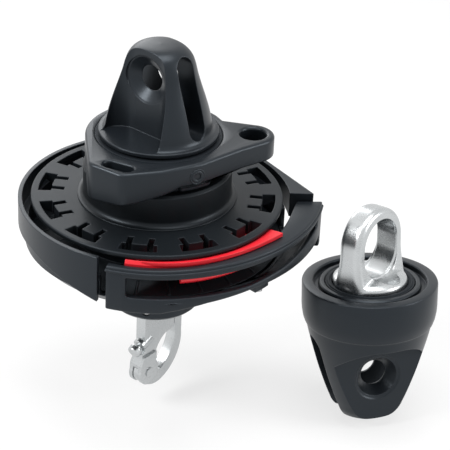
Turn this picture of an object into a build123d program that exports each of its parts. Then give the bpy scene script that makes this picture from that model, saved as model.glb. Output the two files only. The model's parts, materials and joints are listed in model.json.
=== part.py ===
from build123d import *
import os
from math import cos, sin, tan, radians, degrees, sqrt, asin

os.makedirs("parts", exist_ok=True)

# Heights along the spin axis. The origin is level with the shackle's seat, +Z is up the spin axis,
# and the unit is seen in the photograph from -Y.
rim_top = 101.5            # top face of the sheave
flat_gap = 0.3             # gap between flat faces of two bodies that turn on each other
part_gap = 0.3             # radial gap between loose curved faces
run_fit = 0.05             # radial clearance of a running fit
seat_fit = 0.1             # radial clearance of pieces that are pressed or screwed together

# Sheave
sheave_radius = 60.0
sheave_depth = 23.8
rim_thickness = 2.2
core_radius = 43.5
groove_middle = 12.5       # depth of the groove's middle below the top face
core_half_width = 3.4
window_count = 12
window_turn = -8.5         # azimuth of the first window
window_outer = 56.5
window_inner = 50.3
window_half_angle = 9.3
tongue_half_width = 3.5
finger_width = 2.9
finger_inner = 43.9
sheave_bore = 17.0

# Hub
hub_radius = 35.3
hub_height = 16.6
hub_flare = 2.6
shelf_thickness = 3.5
cavity_radius = 17.0
cavity_height = 24.0       # from the sheave's top face to the underside of the web
web_thickness = 4.0
collar_radius = 23.0

# Spindle and its bearings
spindle_radius = 6.0
spindle_foot_radius = 8.0
spindle_bottom = 60.0
spindle_shoulder = 83.0
washer_radius = 15.5
washer_thickness = 2.0
thrust_ball_radius = 3.0
thrust_circle = 11.8
thrust_ball_count = 11
ball_gap = 0.1             # gap between a ball and the race that it turns against
groove_depth = 0.5
nut_radius = 10.5
nut_height = 6.0
race_height = 8.0
inner_race_outer = 9.2
race_ball_radius = 2.2
race_circle = 11.5
race_ball_count = 12
outer_race_inner = 13.8

# Tack swivel plate
plate_gap = 0.9            # from the hub's top to the plate
plate_height = 14.5
plate_slab = 10.4
plate_bore = 30.0
plate_top_round = 1.6
ear_x = 44.3
ear_y = 1.5
ear_radius = 10.2
ear_hole_radius = 6.25
ear_rim_round = 1.4
lobe_azimuth = -117.0
lobe_distance = 39.2
lobe_slot_length = 15.0
lobe_slot_width = 6.4
skirt_drop = 17.8          # lowest point of the lobe's skirt, below the plate's top
skirt_gap = 0.5            # from the hub's side to the skirt
block_start = -73.0
block_stop = -47.0
block_radius = 36.0
block_drop = 13.0
tack_race_inner = 27.2
tack_race_height = 6.0
tack_ball_radius = 1.9
tack_ball_circle = 25.1
tack_ball_count = 26
seal_height = 2.4

# Torsion fork
fork_flange_radius = 28.3
fork_flange_top = 34.5     # above the sheave's top face, as are the next heights
fork_floor = 34.3
fork_bore_height = 62.0
fork_top = 77.4
fork_bore_radius = 6.2
fork_sink_radius = 10.2
fork_sink_depth = 2.6
fork_slot_half = 5.25
fork_window_bottom = 36.5
fork_window_top = 74.6
fork_flat = 9.2
fork_pocket_half = 21.0
fork_pocket_corner = 14.0
fork_slot_azimuth = -41.6
bolt_circle = 11.5
bolt_count = 4
bolt_radius = 2.5
fork_thread = 5.2          # how far the bolts reach into the fork
bolt_head_radius = 4.2
bolt_head_height = 2.6
sheave_screw_circle = 29.0
sheave_screw_count = 6
sheave_screw_radius = 2.0
sheave_screw_head = 3.6
sheave_screw_head_height = 2.4

# Cage base
band_radius = 66.0
band_wall = 2.0
band_top = 1.3             # below the sheave's top face, as are the next depths
band_bottom = 12.0
floor_top = 24.9
floor_bottom = 27.6
bowl_radius = 62.9
bowl_wall = 2.0
bowl_chamfer = 5.0
skirt_depth = 24.3
skirt_start_azimuth = -165.0
band_end_azimuth = -113.4
wing_azimuth = 30.6
wing_corner_x = 75.2
wing_corner_y = 5.2
wing_flange = 2.0
housing_radius = 22.0
housing_bottom = 59.0
housing_top_radius = 33.0
housing_rib_count = 8
cage_screw_circle = 28.0
cage_screw_count = 4
cage_screw_radius = 2.0
cage_screw_head = 3.5

# Line guide
guide_radius = 65.5
guide_wall = 3.0
guide_left_azimuth = -110.0
guide_turn_azimuth = -80.0
guide_far_radius = 84.0
guide_corner_y = 4.6
ledge_top = 4.8
ledge_thickness = 2.5
ledge_inner = 61.7
line_window_top = 9.7
line_window_bottom = 19.7
line_window_left = -101.7
line_window_right = -5.0
sill_bottom = 22.0
sill_thickness = 2.0
bowl_front_top = 22.2

guide_screw_azimuths = (-42.0, -26.0)
guide_screw_circle = 64.3
guide_screw_radius = 1.2
lug_thickness = 3.0

# Line stripper
stripper_outer = 61.3
stripper_foot = 61.8
stripper_top = 4.3
stripper_bottom = 14.8
stripper_start = -103.0
stripper_stop = -28.0
stripper_low_start = -79.0
stripper_end_inner = 45.0
stripper_clear = 0.6       # from the groove's sloping walls
stripper_lug = (64.2, -34.0)
lip_top = 2.6
lip_inner = 60.4
lip_start = -96.0
lip_outer = (60.8, 61.8, 62.1, 62.5, 63.6, 66.6)

# Snap shackle, in its own plane: t runs level across it, z up
shackle_azimuth = 50.0
shackle_thickness = 5.6
shackle_fork_width = 7.6
tongue_thickness = 3.2
fork_slot_width = 3.6
pivot_t = -6.8
pivot_z = 3.6
ear_outer = 6.7
tongue_radius = 6.2
fork_relief = 7.3
rivet_radius = 1.6
rivet_head_radius = 2.5
rivet_head_height = 0.6
block_left = -9.7
block_right = 12.6
nose_gap = 0.4
stud_radius = 4.0
stud_length = 14.0
plunger_t = -13.9
plunger_z = 18.0
plunger_tilt = 24.0
pin_radius = 1.5
chamber_radius = 2.1
collar_half = 0.6
collar_fit = 0.1
chamber_depth = 14.0
knob_radius = 3.8
knob_length = 3.4
tip_half_angle = 60.0
tip_gap = 0.25
spring_wire = 0.22
spring_turns = 6

# Head swivel, in its own frame: origin at the centre of its rim, axis up, leaning a little away
swivel_x = 105.35
swivel_y = 0.0
swivel_z = 56.28
swivel_lean = 6.87
swivel_side_lean = -2.33
swivel_rim_radius = 33.4
swivel_rim_inner = 27.8
swivel_band_depth = 11.0
swivel_height = 70.5
swivel_recess = 3.0
swivel_cavity = 25.2
swivel_cavity_depth = 23.6
swivel_slot_azimuth = 17.0
swivel_slot_half = 5.25
swivel_slot_top = 26.2
swivel_flat = 13.6
swivel_pocket_top = 30.5
swivel_pocket_half = 22.0
swivel_bore_depth = 47.5
swivel_bore_radius = 6.6
swivel_sink_radius = 10.8
swivel_sink_depth = 3.4
swivel_cap_thickness = 7.0
swivel_stem_radius = 8.0
swivel_seal_outer = 22.0
eye_base_radius = 18.6
eye_base_top = 0.5
eye_azimuth = -35.0
eye_height = 17.6
eye_outer_half = 18.6
eye_outer_rise = 2.4
eye_hole_radius = 12.9
eye_hole_rise = 2.4
eye_thickness = 13.4
eye_round = 3.0
eye_flare_height = 9.0
swivel_washer_outer = 20.0
swivel_ball_radius = 2.4
swivel_ball_circle = 15.2
swivel_ball_count = 16
swivel_nut_radius = 12.0
swivel_nut_height = 5.0

z_hub_top = rim_top + hub_height
z_web_bottom = rim_top + cavity_height
z_web_top = z_web_bottom + web_thickness
z_plate_bottom = z_hub_top + plate_gap
z_plate_top = z_plate_bottom + plate_height
z_sheave_bottom = rim_top - sheave_depth
z_split = rim_top - groove_middle
z_shelf_top = rim_top + shelf_thickness
z_floor_top = rim_top - floor_top
z_floor_bottom = rim_top - floor_bottom
z_housing_bottom = rim_top - housing_bottom
z_lug_bottom = rim_top - bowl_front_top - lug_thickness


def polar(radius, azimuth):
    return (radius * cos(radians(azimuth)), radius * sin(radians(azimuth)))


def radial_plane(azimuth):
    # upright half plane: local x runs outwards at this azimuth, local y runs up
    return Plane(
        origin=(0, 0, 0),
        x_dir=(*polar(1, azimuth), 0),
        z_dir=(sin(radians(azimuth)), -cos(radians(azimuth)), 0),
    )


def cross_plane(azimuth, height=0.0, distance=0.0):
    # upright plane that faces outwards at this azimuth: local y runs up
    return Plane(
        origin=(*polar(distance, azimuth), height),
        x_dir=(-sin(radians(azimuth)), cos(radians(azimuth)), 0),
        z_dir=(*polar(1, azimuth), 0),
    )


def sector(inner, outer, start, stop):
    with BuildSketch() as plan:
        with BuildLine():
            CenterArc((0, 0), outer, start, stop - start)
            CenterArc((0, 0), inner, start, stop - start)
            Line(polar(inner, start), polar(outer, start))
            Line(polar(inner, stop), polar(outer, stop))
        make_face()
    return plan.sketch


def ring(inner, outer, bottom, height):
    # plain round ring about the spin axis
    with BuildPart() as blank:
        with BuildSketch(Plane.XY.offset(bottom)):
            Circle(outer)
            Circle(inner, mode=Mode.SUBTRACT)
        extrude(amount=height)
    return blank.part


def ball_set(radius, circle, count, height, base=Plane.XY):
    with BuildPart() as balls:
        with Locations(base.offset(height)):
            with PolarLocations(circle, count):
                Sphere(radius)
    return balls.part


def save(piece, name):
    piece.part.label = name
    export_step(piece.part, f"parts/{name}.step")


# Spindle: foot, shoulder for the lower race, shaft up to the nut
z_thrust_bottom = z_shelf_top
z_lower_washer_top = z_thrust_bottom + washer_thickness
z_thrust_ball = z_lower_washer_top + thrust_ball_radius - groove_depth
z_upper_washer = z_thrust_ball + thrust_ball_radius + ball_gap - groove_depth
z_nut = z_upper_washer + washer_thickness
z_spindle_top = z_nut + nut_height + 0.4
z_spindle_pin = spindle_bottom + 8.0
spindle_pin_radius = 1.5

with BuildPart() as spindle:
    with BuildSketch(Plane.XZ):
        with BuildLine():
            Polyline(
                (0, spindle_bottom),
                (spindle_foot_radius, spindle_bottom),
                (spindle_foot_radius, spindle_shoulder),
                (spindle_radius, spindle_shoulder),
                (spindle_radius, z_spindle_top),
                (0, z_spindle_top),
                close=True,
            )
        make_face()
    revolve(axis=Axis.Z)
    chamfer(spindle.faces().sort_by(Axis.Z)[-1].edges(), 0.8)
    with BuildSketch(Plane.XY.offset(spindle_bottom)):
        Circle(stud_radius + seat_fit)
    extrude(amount=stud_length + 0.5, mode=Mode.SUBTRACT)
    with BuildSketch(cross_plane(shackle_azimuth, z_spindle_pin)):
        Circle(spindle_pin_radius + seat_fit)
    extrude(amount=spindle_foot_radius * 2, both=True, mode=Mode.SUBTRACT)
save(spindle, "spindle")

with BuildPart() as spindle_pin:
    with BuildSketch(cross_plane(shackle_azimuth, z_spindle_pin)):
        Circle(spindle_pin_radius)
    extrude(amount=spindle_foot_radius - 0.4, both=True)
save(spindle_pin, "spindle_pin")

# Nut on the spindle's top, above the thrust bearing
with BuildPart() as spindle_nut:
    with BuildSketch(Plane.XY.offset(z_nut)):
        RegularPolygon(nut_radius, 6)
        Circle(spindle_radius + seat_fit, mode=Mode.SUBTRACT)
    extrude(amount=nut_height)
    nut_rim = spindle_nut.edges().group_by(Axis.Z)[-1].filter_by(GeomType.LINE)
    chamfer(nut_rim, 0.8)
save(spindle_nut, "spindle_nut")


def grooved_ring(inner, outer, bottom, height, circle, ball, ball_z, clearance, base=Plane.XY):
    # ring with a ball track: the track is the ball's own circle swept round the axis
    with BuildPart() as race:
        with BuildSketch(base.offset(bottom)):
            Circle(outer)
            Circle(inner, mode=Mode.SUBTRACT)
        extrude(amount=height)
        with Locations(base.offset(ball_z)):
            Torus(circle, ball + clearance, mode=Mode.SUBTRACT)
    return race.part


with BuildPart() as lower_thrust_washer:
    add(grooved_ring(spindle_radius + 1.5, washer_radius, z_thrust_bottom, washer_thickness,
                     thrust_circle, thrust_ball_radius, z_thrust_ball, 0.02))
save(lower_thrust_washer, "lower_thrust_washer")

with BuildPart() as upper_thrust_washer:
    add(grooved_ring(spindle_radius + seat_fit, washer_radius, z_upper_washer, washer_thickness,
                     thrust_circle, thrust_ball_radius, z_thrust_ball, ball_gap))
save(upper_thrust_washer, "upper_thrust_washer")

with BuildPart() as thrust_balls:
    add(ball_set(thrust_ball_radius, thrust_circle, thrust_ball_count, z_thrust_ball))
save(thrust_balls, "thrust_balls")

retainer_height = 2.0
retainer_margin = 1.2
with BuildPart() as thrust_ball_cage:
    add(ring(thrust_circle - thrust_ball_radius - retainer_margin,
             thrust_circle + thrust_ball_radius + 0.5,
             z_thrust_ball - retainer_height / 2, retainer_height))
    with BuildSketch(Plane.XY.offset(z_thrust_ball - retainer_height)):
        with PolarLocations(thrust_circle, thrust_ball_count):
            Circle(thrust_ball_radius + seat_fit)
    extrude(amount=retainer_height * 2, mode=Mode.SUBTRACT)
save(thrust_ball_cage, "thrust_ball_cage")

# Lower ball bearing between the spindle and the sheave's bore
z_race_ball = spindle_shoulder + race_height / 2
with BuildPart() as lower_bearing_inner_race:
    add(grooved_ring(spindle_radius + seat_fit, inner_race_outer, spindle_shoulder, race_height,
                     race_circle, race_ball_radius, z_race_ball, ball_gap))
save(lower_bearing_inner_race, "lower_bearing_inner_race")

with BuildPart() as lower_bearing_outer_race:
    add(grooved_ring(outer_race_inner, sheave_bore - seat_fit / 2, spindle_shoulder, race_height,
                     race_circle, race_ball_radius, z_race_ball, ball_gap))
save(lower_bearing_outer_race, "lower_bearing_outer_race")

with BuildPart() as lower_bearing_balls:
    add(ball_set(race_ball_radius, race_circle, race_ball_count, z_race_ball))
save(lower_bearing_balls, "lower_bearing_balls")

# Sheave halves: each is the web and one flange of the V groove
rim_under = rim_top - rim_thickness
core_upper = z_split + core_half_width
with BuildPart() as sheave_upper:
    with BuildSketch(Plane.XZ):
        with BuildLine():
            Polyline(
                (sheave_bore, z_split),
                (core_radius, z_split),
                (core_radius, core_upper),
                (sheave_radius, rim_under),
                (sheave_radius, rim_top),
                (sheave_bore, rim_top),
                close=True,
            )
        make_face()
    revolve(axis=Axis.Z)
    rim_edges = sheave_upper.edges().filter_by(GeomType.CIRCLE).sort_by(lambda e: -e.radius)
    fillet(rim_edges[0:2], 0.7)
    with BuildSketch(Plane.XY.offset(rim_top)):
        with PolarLocations(0, window_count, start_angle=window_turn):
            add(sector(window_inner, window_outer, -window_half_angle, window_half_angle))
            finger_middle = (finger_inner + window_inner + 0.5) / 2
            finger_length = window_inner + 0.5 - finger_inner
            finger_offset = tongue_half_width + finger_width / 2
            with Locations((finger_middle, finger_offset), (finger_middle, -finger_offset)):
                Rectangle(finger_length, finger_width)
    extrude(amount=-(rim_top - z_split), mode=Mode.SUBTRACT)
    with BuildSketch(Plane.XY.offset(z_split)):
        with PolarLocations(sheave_screw_circle, sheave_screw_count):
            Circle(sheave_screw_radius + seat_fit)
    extrude(amount=rim_top - z_split, mode=Mode.SUBTRACT)
save(sheave_upper, "sheave_upper")

lower_rim = z_sheave_bottom + rim_thickness
with BuildPart() as sheave_lower:
    with BuildSketch(Plane.XZ):
        with BuildLine():
            Polyline(
                (sheave_bore, z_sheave_bottom),
                (sheave_radius - part_gap, z_sheave_bottom),
                (sheave_radius - part_gap, lower_rim),
                (core_radius, z_split - core_half_width),
                (core_radius, z_split),
                (sheave_bore, z_split),
                close=True,
            )
        make_face()
    revolve(axis=Axis.Z)
    lower_edges = sheave_lower.faces().sort_by(Axis.Z)[0].edges().sort_by(lambda e: -e.radius)
    chamfer(lower_edges[0], 1.0)
    with BuildSketch(Plane.XY.offset(z_sheave_bottom)):
        with PolarLocations(sheave_screw_circle, sheave_screw_count):
            Circle(sheave_screw_radius + seat_fit)
    extrude(amount=z_split - z_sheave_bottom, mode=Mode.SUBTRACT)
    with BuildSketch(Plane.XY.offset(z_sheave_bottom)):
        with PolarLocations(sheave_screw_circle, sheave_screw_count):
            Circle(sheave_screw_head + seat_fit)
    extrude(amount=sheave_screw_head_height + 0.3, mode=Mode.SUBTRACT)
save(sheave_lower, "sheave_lower")

# Hub: skirt, shelf under the thrust bearing, web under the fork, collar inside the swivel plate
hub_wall_top = z_hub_top - 3.0
with BuildPart() as drum_hub:
    with BuildSketch(Plane.XZ):
        with BuildLine():
            Polyline(
                (spindle_radius + 0.6, rim_top),
                (hub_radius + hub_flare, rim_top),
                (hub_radius + hub_flare, rim_top + 0.6),
            )
            RadiusArc(
                (hub_radius + hub_flare, rim_top + 0.6),
                (hub_radius, rim_top + 0.6 + hub_flare),
                hub_flare,
            )
            Polyline(
                (hub_radius, rim_top + 0.6 + hub_flare),
                (hub_radius, z_hub_top - 1.2),
                (hub_radius - 1.2, z_hub_top),
                (collar_radius, z_hub_top),
                (collar_radius, z_web_top),
                (0, z_web_top),
                (0, z_web_bottom),
                (cavity_radius, z_web_bottom),
                (cavity_radius, z_shelf_top),
                (spindle_radius + 0.6, z_shelf_top),
                (spindle_radius + 0.6, rim_top),
            )
        make_face()
    revolve(axis=Axis.Z)
    with BuildSketch(Plane.XY.offset(rim_top)):
        with PolarLocations(sheave_screw_circle, sheave_screw_count):
            Circle(sheave_screw_radius + seat_fit)
    extrude(amount=hub_height * 0.6, mode=Mode.SUBTRACT)
    with BuildSketch(Plane.XY.offset(z_web_bottom)):
        with PolarLocations(bolt_circle, bolt_count, start_angle=fork_slot_azimuth + 45):
            Circle(bolt_radius + seat_fit)
    extrude(amount=web_thickness, mode=Mode.SUBTRACT)
    with Locations((0, 0, z_hub_top + plate_gap + 5.2)):
        Torus(tack_ball_circle, tack_ball_radius + ball_gap, mode=Mode.SUBTRACT)
save(drum_hub, "drum_hub")

with BuildPart() as sheave_screws:
    with BuildSketch(Plane.XY.offset(z_sheave_bottom + 0.2)):
        with PolarLocations(sheave_screw_circle, sheave_screw_count):
            Circle(sheave_screw_head)
    extrude(amount=sheave_screw_head_height)
    with BuildSketch(Plane.XY.offset(z_sheave_bottom + 0.2 + sheave_screw_head_height)):
        with PolarLocations(sheave_screw_circle, sheave_screw_count):
            Circle(sheave_screw_radius)
    extrude(amount=rim_top + hub_height * 0.55 - z_sheave_bottom - sheave_screw_head_height)
    with BuildSketch(Plane.XY.offset(z_sheave_bottom + 0.2)):
        with PolarLocations(sheave_screw_circle, sheave_screw_count):
            RegularPolygon(1.6, 6)
    extrude(amount=1.4, mode=Mode.SUBTRACT)
save(sheave_screws, "sheave_screws")

# Torsion fork: flange, cone with a closed crown, through window, bore with two flat faces
z_fork_flange = rim_top + fork_flange_top
z_fork_floor = rim_top + fork_floor
z_fork_bore = rim_top + fork_bore_height
z_fork_top = rim_top + fork_top
fork_bore_azimuth = fork_slot_azimuth + 90
with BuildPart() as torsion_fork:
    with BuildSketch(Plane.XZ):
        with BuildLine():
            Polyline(
                (0, z_web_top),
                (collar_radius, z_web_top),
                (collar_radius, z_plate_top + 0.5),
                (fork_flange_radius, z_plate_top + 0.5),
                (fork_flange_radius, z_fork_flange),
                (fork_flange_radius - 1.6, z_fork_flange + 0.3),
            )
            Spline(
                (fork_flange_radius - 1.6, z_fork_flange + 0.3),
                (25.1, rim_top + 37.6),
                (24.3, rim_top + 42.0),
                (21.0, rim_top + 52.0),
                (17.7, rim_top + 63.0),
                (15.6, rim_top + 70.4),
                tangents=[(-1, 0.15), (-0.25, 1)],
            )
            Spline(
                (15.6, rim_top + 70.4),
                (13.4, rim_top + 74.2),
                (9.4, rim_top + 76.3),
                (0, z_fork_top),
                tangents=[(-0.25, 1), (-1, 0)],
            )
            Line((0, z_fork_top), (0, z_web_top))
        make_face()
    revolve(axis=Axis.Z)
    for side in (0, 180):
        with BuildSketch(cross_plane(fork_bore_azimuth + side, z_fork_floor, fork_flat)):
            with Locations((0, fork_top / 2)):
                RectangleRounded(fork_pocket_half * 2, fork_top, fork_pocket_corner)
        extrude(amount=collar_radius, mode=Mode.SUBTRACT)
    window_height = fork_window_top - fork_window_bottom
    window_middle = rim_top + (fork_window_top + fork_window_bottom) / 2
    with BuildSketch(cross_plane(fork_slot_azimuth, window_middle)):
        SlotOverall(window_height, fork_slot_half * 2, rotation=90)
    extrude(amount=fork_flange_radius + 2, both=True, mode=Mode.SUBTRACT)
    with BuildSketch(cross_plane(fork_bore_azimuth, z_fork_bore)):
        Circle(fork_bore_radius)
    extrude(amount=fork_flat + 2, both=True, mode=Mode.SUBTRACT)
    for side in (0, 180):
        with BuildSketch(cross_plane(fork_bore_azimuth + side, z_fork_bore, fork_flat)):
            Circle(fork_sink_radius)
        with BuildSketch(cross_plane(fork_bore_azimuth + side, z_fork_bore, fork_flat - fork_sink_depth)):
            Circle(fork_bore_radius)
        loft(mode=Mode.SUBTRACT)
    with BuildSketch(Plane.XY.offset(z_web_top)):
        with PolarLocations(bolt_circle, bolt_count, start_angle=fork_slot_azimuth + 45):
            Circle(bolt_radius + seat_fit)
    extrude(amount=fork_thread + 0.6, mode=Mode.SUBTRACT)
save(torsion_fork, "torsion_fork")

with BuildPart() as fork_bolts:
    with BuildSketch(Plane.XY.offset(z_web_bottom - bolt_head_height)):
        with PolarLocations(bolt_circle, bolt_count, start_angle=fork_slot_azimuth + 45):
            Circle(bolt_head_radius)
    extrude(amount=bolt_head_height)
    with BuildSketch(Plane.XY.offset(z_web_bottom)):
        with PolarLocations(bolt_circle, bolt_count, start_angle=fork_slot_azimuth + 45):
            Circle(bolt_radius)
    extrude(amount=web_thickness + fork_thread)
save(fork_bolts, "fork_bolts")

# Tack swivel plate: slotted lobe on the left, plain block in front, eye on the right
z_slab = z_plate_top - plate_slab
plate_back_radius = 34.4
plate_back_start = 36.0
plate_back_stop = 182.0
plate_front = [(-31.5, -33.0), (-16.0, -44.0), (2.5, -39.2), (20.5, -30.2), (38.2, -15.2)]
plate_back_corner = (30.5, 15.2)
ear_low = polar(ear_radius, -52)
ear_back = polar(ear_radius, 82)
with BuildPart() as plate_blank:
    with BuildSketch(Plane.XY.offset(z_slab)) as plate_plan:
        with BuildLine():
            Polyline(polar(plate_back_radius, plate_back_stop), *plate_front,
                     (ear_x + ear_low[0], ear_y + ear_low[1]))
            ThreePointArc((ear_x + ear_low[0], ear_y + ear_low[1]), (ear_x + ear_radius, ear_y),
                          (ear_x + ear_back[0], ear_y + ear_back[1]))
            Polyline((ear_x + ear_back[0], ear_y + ear_back[1]), plate_back_corner,
                     polar(plate_back_radius, plate_back_start))
            CenterArc((0, 0), plate_back_radius, plate_back_start, plate_back_stop - plate_back_start)
        face = make_face()
        lobe_corners = [face.vertices().sort_by_distance(corner)[0] for corner in plate_front[:2]]
        fillet(lobe_corners, 6.5)
    extrude(amount=plate_slab)
    fillet(plate_blank.faces().sort_by(Axis.Z)[-1].edges(), plate_top_round)

# The lobe's skirt reaches past the hub's top, and its lower edge rises towards the block
z_skirt = z_plate_top - skirt_drop
with BuildPart() as plate_skirt:
    add(plate_plan.sketch)
    extrude(amount=-(z_slab - z_skirt))
    with BuildSketch(Plane.XY.offset(z_skirt)):
        Circle(hub_radius + skirt_gap)
    extrude(amount=z_plate_bottom - z_skirt, mode=Mode.SUBTRACT)
    with BuildSketch(Plane.XZ):
        with BuildLine():
            Polyline((-60, z_skirt - 1), (-60, z_skirt), (-28.0, z_skirt), (-7.5, z_skirt + 2.7), (8.5, z_slab - 0.9),
                     (10.0, z_slab), (10.0, z_slab + 1), (60, z_slab + 1), (60, z_skirt - 1), close=True)
        make_face()
    extrude(amount=60, both=True, mode=Mode.SUBTRACT)

with BuildPart() as tack_plate:
    add(plate_blank.part)
    add(plate_skirt.part)
    with BuildSketch(Plane.XY.offset(z_plate_bottom)):
        Circle(plate_bore + 2.6)
    extrude(amount=plate_height - plate_slab + 0.5)
    with BuildSketch(Plane.XY.offset(z_plate_top - block_drop)):
        add(sector(plate_bore - 2, block_radius, block_start, block_stop))
    extrude(amount=block_drop - plate_slab + 0.5)
    with BuildSketch(Plane.XY.offset(z_plate_bottom)):
        Circle(plate_bore)
    extrude(amount=plate_height + 1, mode=Mode.SUBTRACT)
    with BuildSketch(Plane.XY.offset(z_skirt)):
        with Locations(Location((*polar(lobe_distance, lobe_azimuth), 0), (0, 0, lobe_azimuth + 90))):
            SlotOverall(lobe_slot_length, lobe_slot_width)
    extrude(amount=skirt_drop, mode=Mode.SUBTRACT)
    with BuildSketch(Plane.XY.offset(z_slab)):
        with Locations((ear_x, ear_y)):
            Circle(ear_hole_radius)
    extrude(amount=plate_slab, mode=Mode.SUBTRACT)
    ear_rims = tack_plate.edges().filter_by(GeomType.CIRCLE).filter_by(
        lambda e: abs(e.radius - ear_hole_radius) < 0.01)
    fillet(ear_rims, ear_rim_round)
save(tack_plate, "tack_plate")

# Ball race, balls and seal between the plate and the hub's collar
z_tack_ball = z_hub_top + plate_gap + 5.2
with BuildPart() as tack_race:
    add(grooved_ring(tack_race_inner, plate_bore - seat_fit / 2, z_tack_ball - tack_race_height / 2,
                     tack_race_height, tack_ball_circle, tack_ball_radius, z_tack_ball, 0.02))
save(tack_race, "tack_race")

with BuildPart() as tack_balls:
    add(ball_set(tack_ball_radius, tack_ball_circle, tack_ball_count, z_tack_ball))
save(tack_balls, "tack_balls")

with BuildPart() as tack_seal:
    add(ring(collar_radius + part_gap, plate_bore - seat_fit / 2, z_plate_top - seal_height - 0.4, seal_height))
save(tack_seal, "tack_seal")

with BuildPart() as tack_bush:
    add(ring(collar_radius + run_fit, plate_bore - seat_fit / 2, z_hub_top + flat_gap,
             z_tack_ball - tack_race_height / 2 - z_hub_top - flat_gap - 0.4))
save(tack_bush, "tack_bush")

# Cage base: floor, bowl wall round the sheave, band, and the straight wing at the back right
z_band_top = rim_top - band_top
z_band_bottom = rim_top - band_bottom
tangent_x, tangent_y = polar(band_radius, wing_azimuth)

# The band gets deeper towards its front left end: the skirt's lower edge slopes down
with BuildPart() as band_skirt:
    with BuildSketch(Plane.XY.offset(rim_top - skirt_depth)):
        add(sector(band_radius - band_wall, band_radius, skirt_start_azimuth, band_end_azimuth))
    extrude(amount=skirt_depth - band_bottom)
    with BuildSketch(Plane.XZ):
        with BuildLine():
            skirt_low_x = polar(band_radius, band_end_azimuth)[0] + 2
            Polyline(
                (-band_radius, rim_top - skirt_depth - 2), (-band_radius, rim_top - band_bottom + 0.8),
                (skirt_low_x, rim_top - skirt_depth - 0.7), (skirt_low_x, rim_top - skirt_depth - 2),
                close=True,
            )
        make_face()
    extrude(amount=band_radius * 2, both=True, mode=Mode.SUBTRACT)

with BuildPart() as cage_base:
    with BuildSketch(Plane.XZ):
        with BuildLine():
            Polyline(
                (housing_radius - 6, z_floor_bottom),
                (bowl_radius - bowl_chamfer, z_floor_bottom),
                (bowl_radius, z_floor_bottom + bowl_chamfer),
                (bowl_radius, z_band_bottom),
                (bowl_radius - bowl_wall, z_band_bottom),
                (bowl_radius - bowl_wall, z_floor_bottom + bowl_chamfer + 0.4),
                (bowl_radius - bowl_chamfer + 1.4, z_floor_top),
                (housing_radius - 6, z_floor_top),
                close=True,
            )
        make_face()
    revolve(axis=Axis.Z)
    with BuildSketch(Plane.XY.offset(rim_top - bowl_front_top)):
        add(sector(bowl_radius - 8, bowl_radius + 10, band_end_azimuth, wing_azimuth - 22))
    extrude(amount=bowl_front_top, mode=Mode.SUBTRACT)
    with BuildSketch(Plane.XY.offset(z_band_bottom - 2.0)):
        add(sector(bowl_radius - bowl_wall, band_radius, wing_azimuth, 360 + band_end_azimuth))
    extrude(amount=2.0)
    with BuildSketch(Plane.XY.offset(z_band_bottom)):
        add(sector(band_radius - band_wall, band_radius, wing_azimuth, 360 + band_end_azimuth))
    extrude(amount=z_band_top - z_band_bottom)
    add(band_skirt.part)
    # lugs under the line guide
    with BuildSketch(Plane.XY.offset(z_lug_bottom)):
        for azimuth in guide_screw_azimuths:
            add(sector(bowl_radius - 1.0, guide_screw_circle + 2.6, azimuth - 4, azimuth + 4))
        for azimuth in guide_screw_azimuths:
            with Locations(polar(guide_screw_circle, azimuth)):
                Circle(guide_screw_radius + seat_fit, mode=Mode.SUBTRACT)
    extrude(amount=lug_thickness)
    # wing
    with BuildSketch(Plane.XY.offset(z_band_bottom - 2.0)):
        with BuildSketch(mode=Mode.PRIVATE) as wing_plan:
            with BuildLine():
                Polyline(
                    (0, wing_corner_y), (0, tangent_y), (tangent_x, tangent_y),
                    (wing_corner_x, wing_corner_y),
                    close=True,
                )
            make_face()
            Circle(band_radius - band_wall, mode=Mode.SUBTRACT)
        add(wing_plan.sketch)
    extrude(amount=z_band_top - z_band_bottom + 2.0)
    with BuildSketch(Plane.XY.offset(z_band_bottom)):
        with BuildSketch(mode=Mode.PRIVATE) as wing_hollow:
            add(wing_plan.sketch)
            offset(amount=-band_wall, kind=Kind.INTERSECTION)
        add(wing_hollow.sketch)
    extrude(amount=z_band_top - z_band_bottom - wing_flange, mode=Mode.SUBTRACT)
    with BuildSketch(Plane.XY.offset(z_floor_bottom)):
        with PolarLocations(cage_screw_circle, cage_screw_count, start_angle=45):
            Circle(cage_screw_radius + seat_fit)
    extrude(amount=floor_bottom - floor_top, mode=Mode.SUBTRACT)
save(cage_base, "cage_base")

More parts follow.
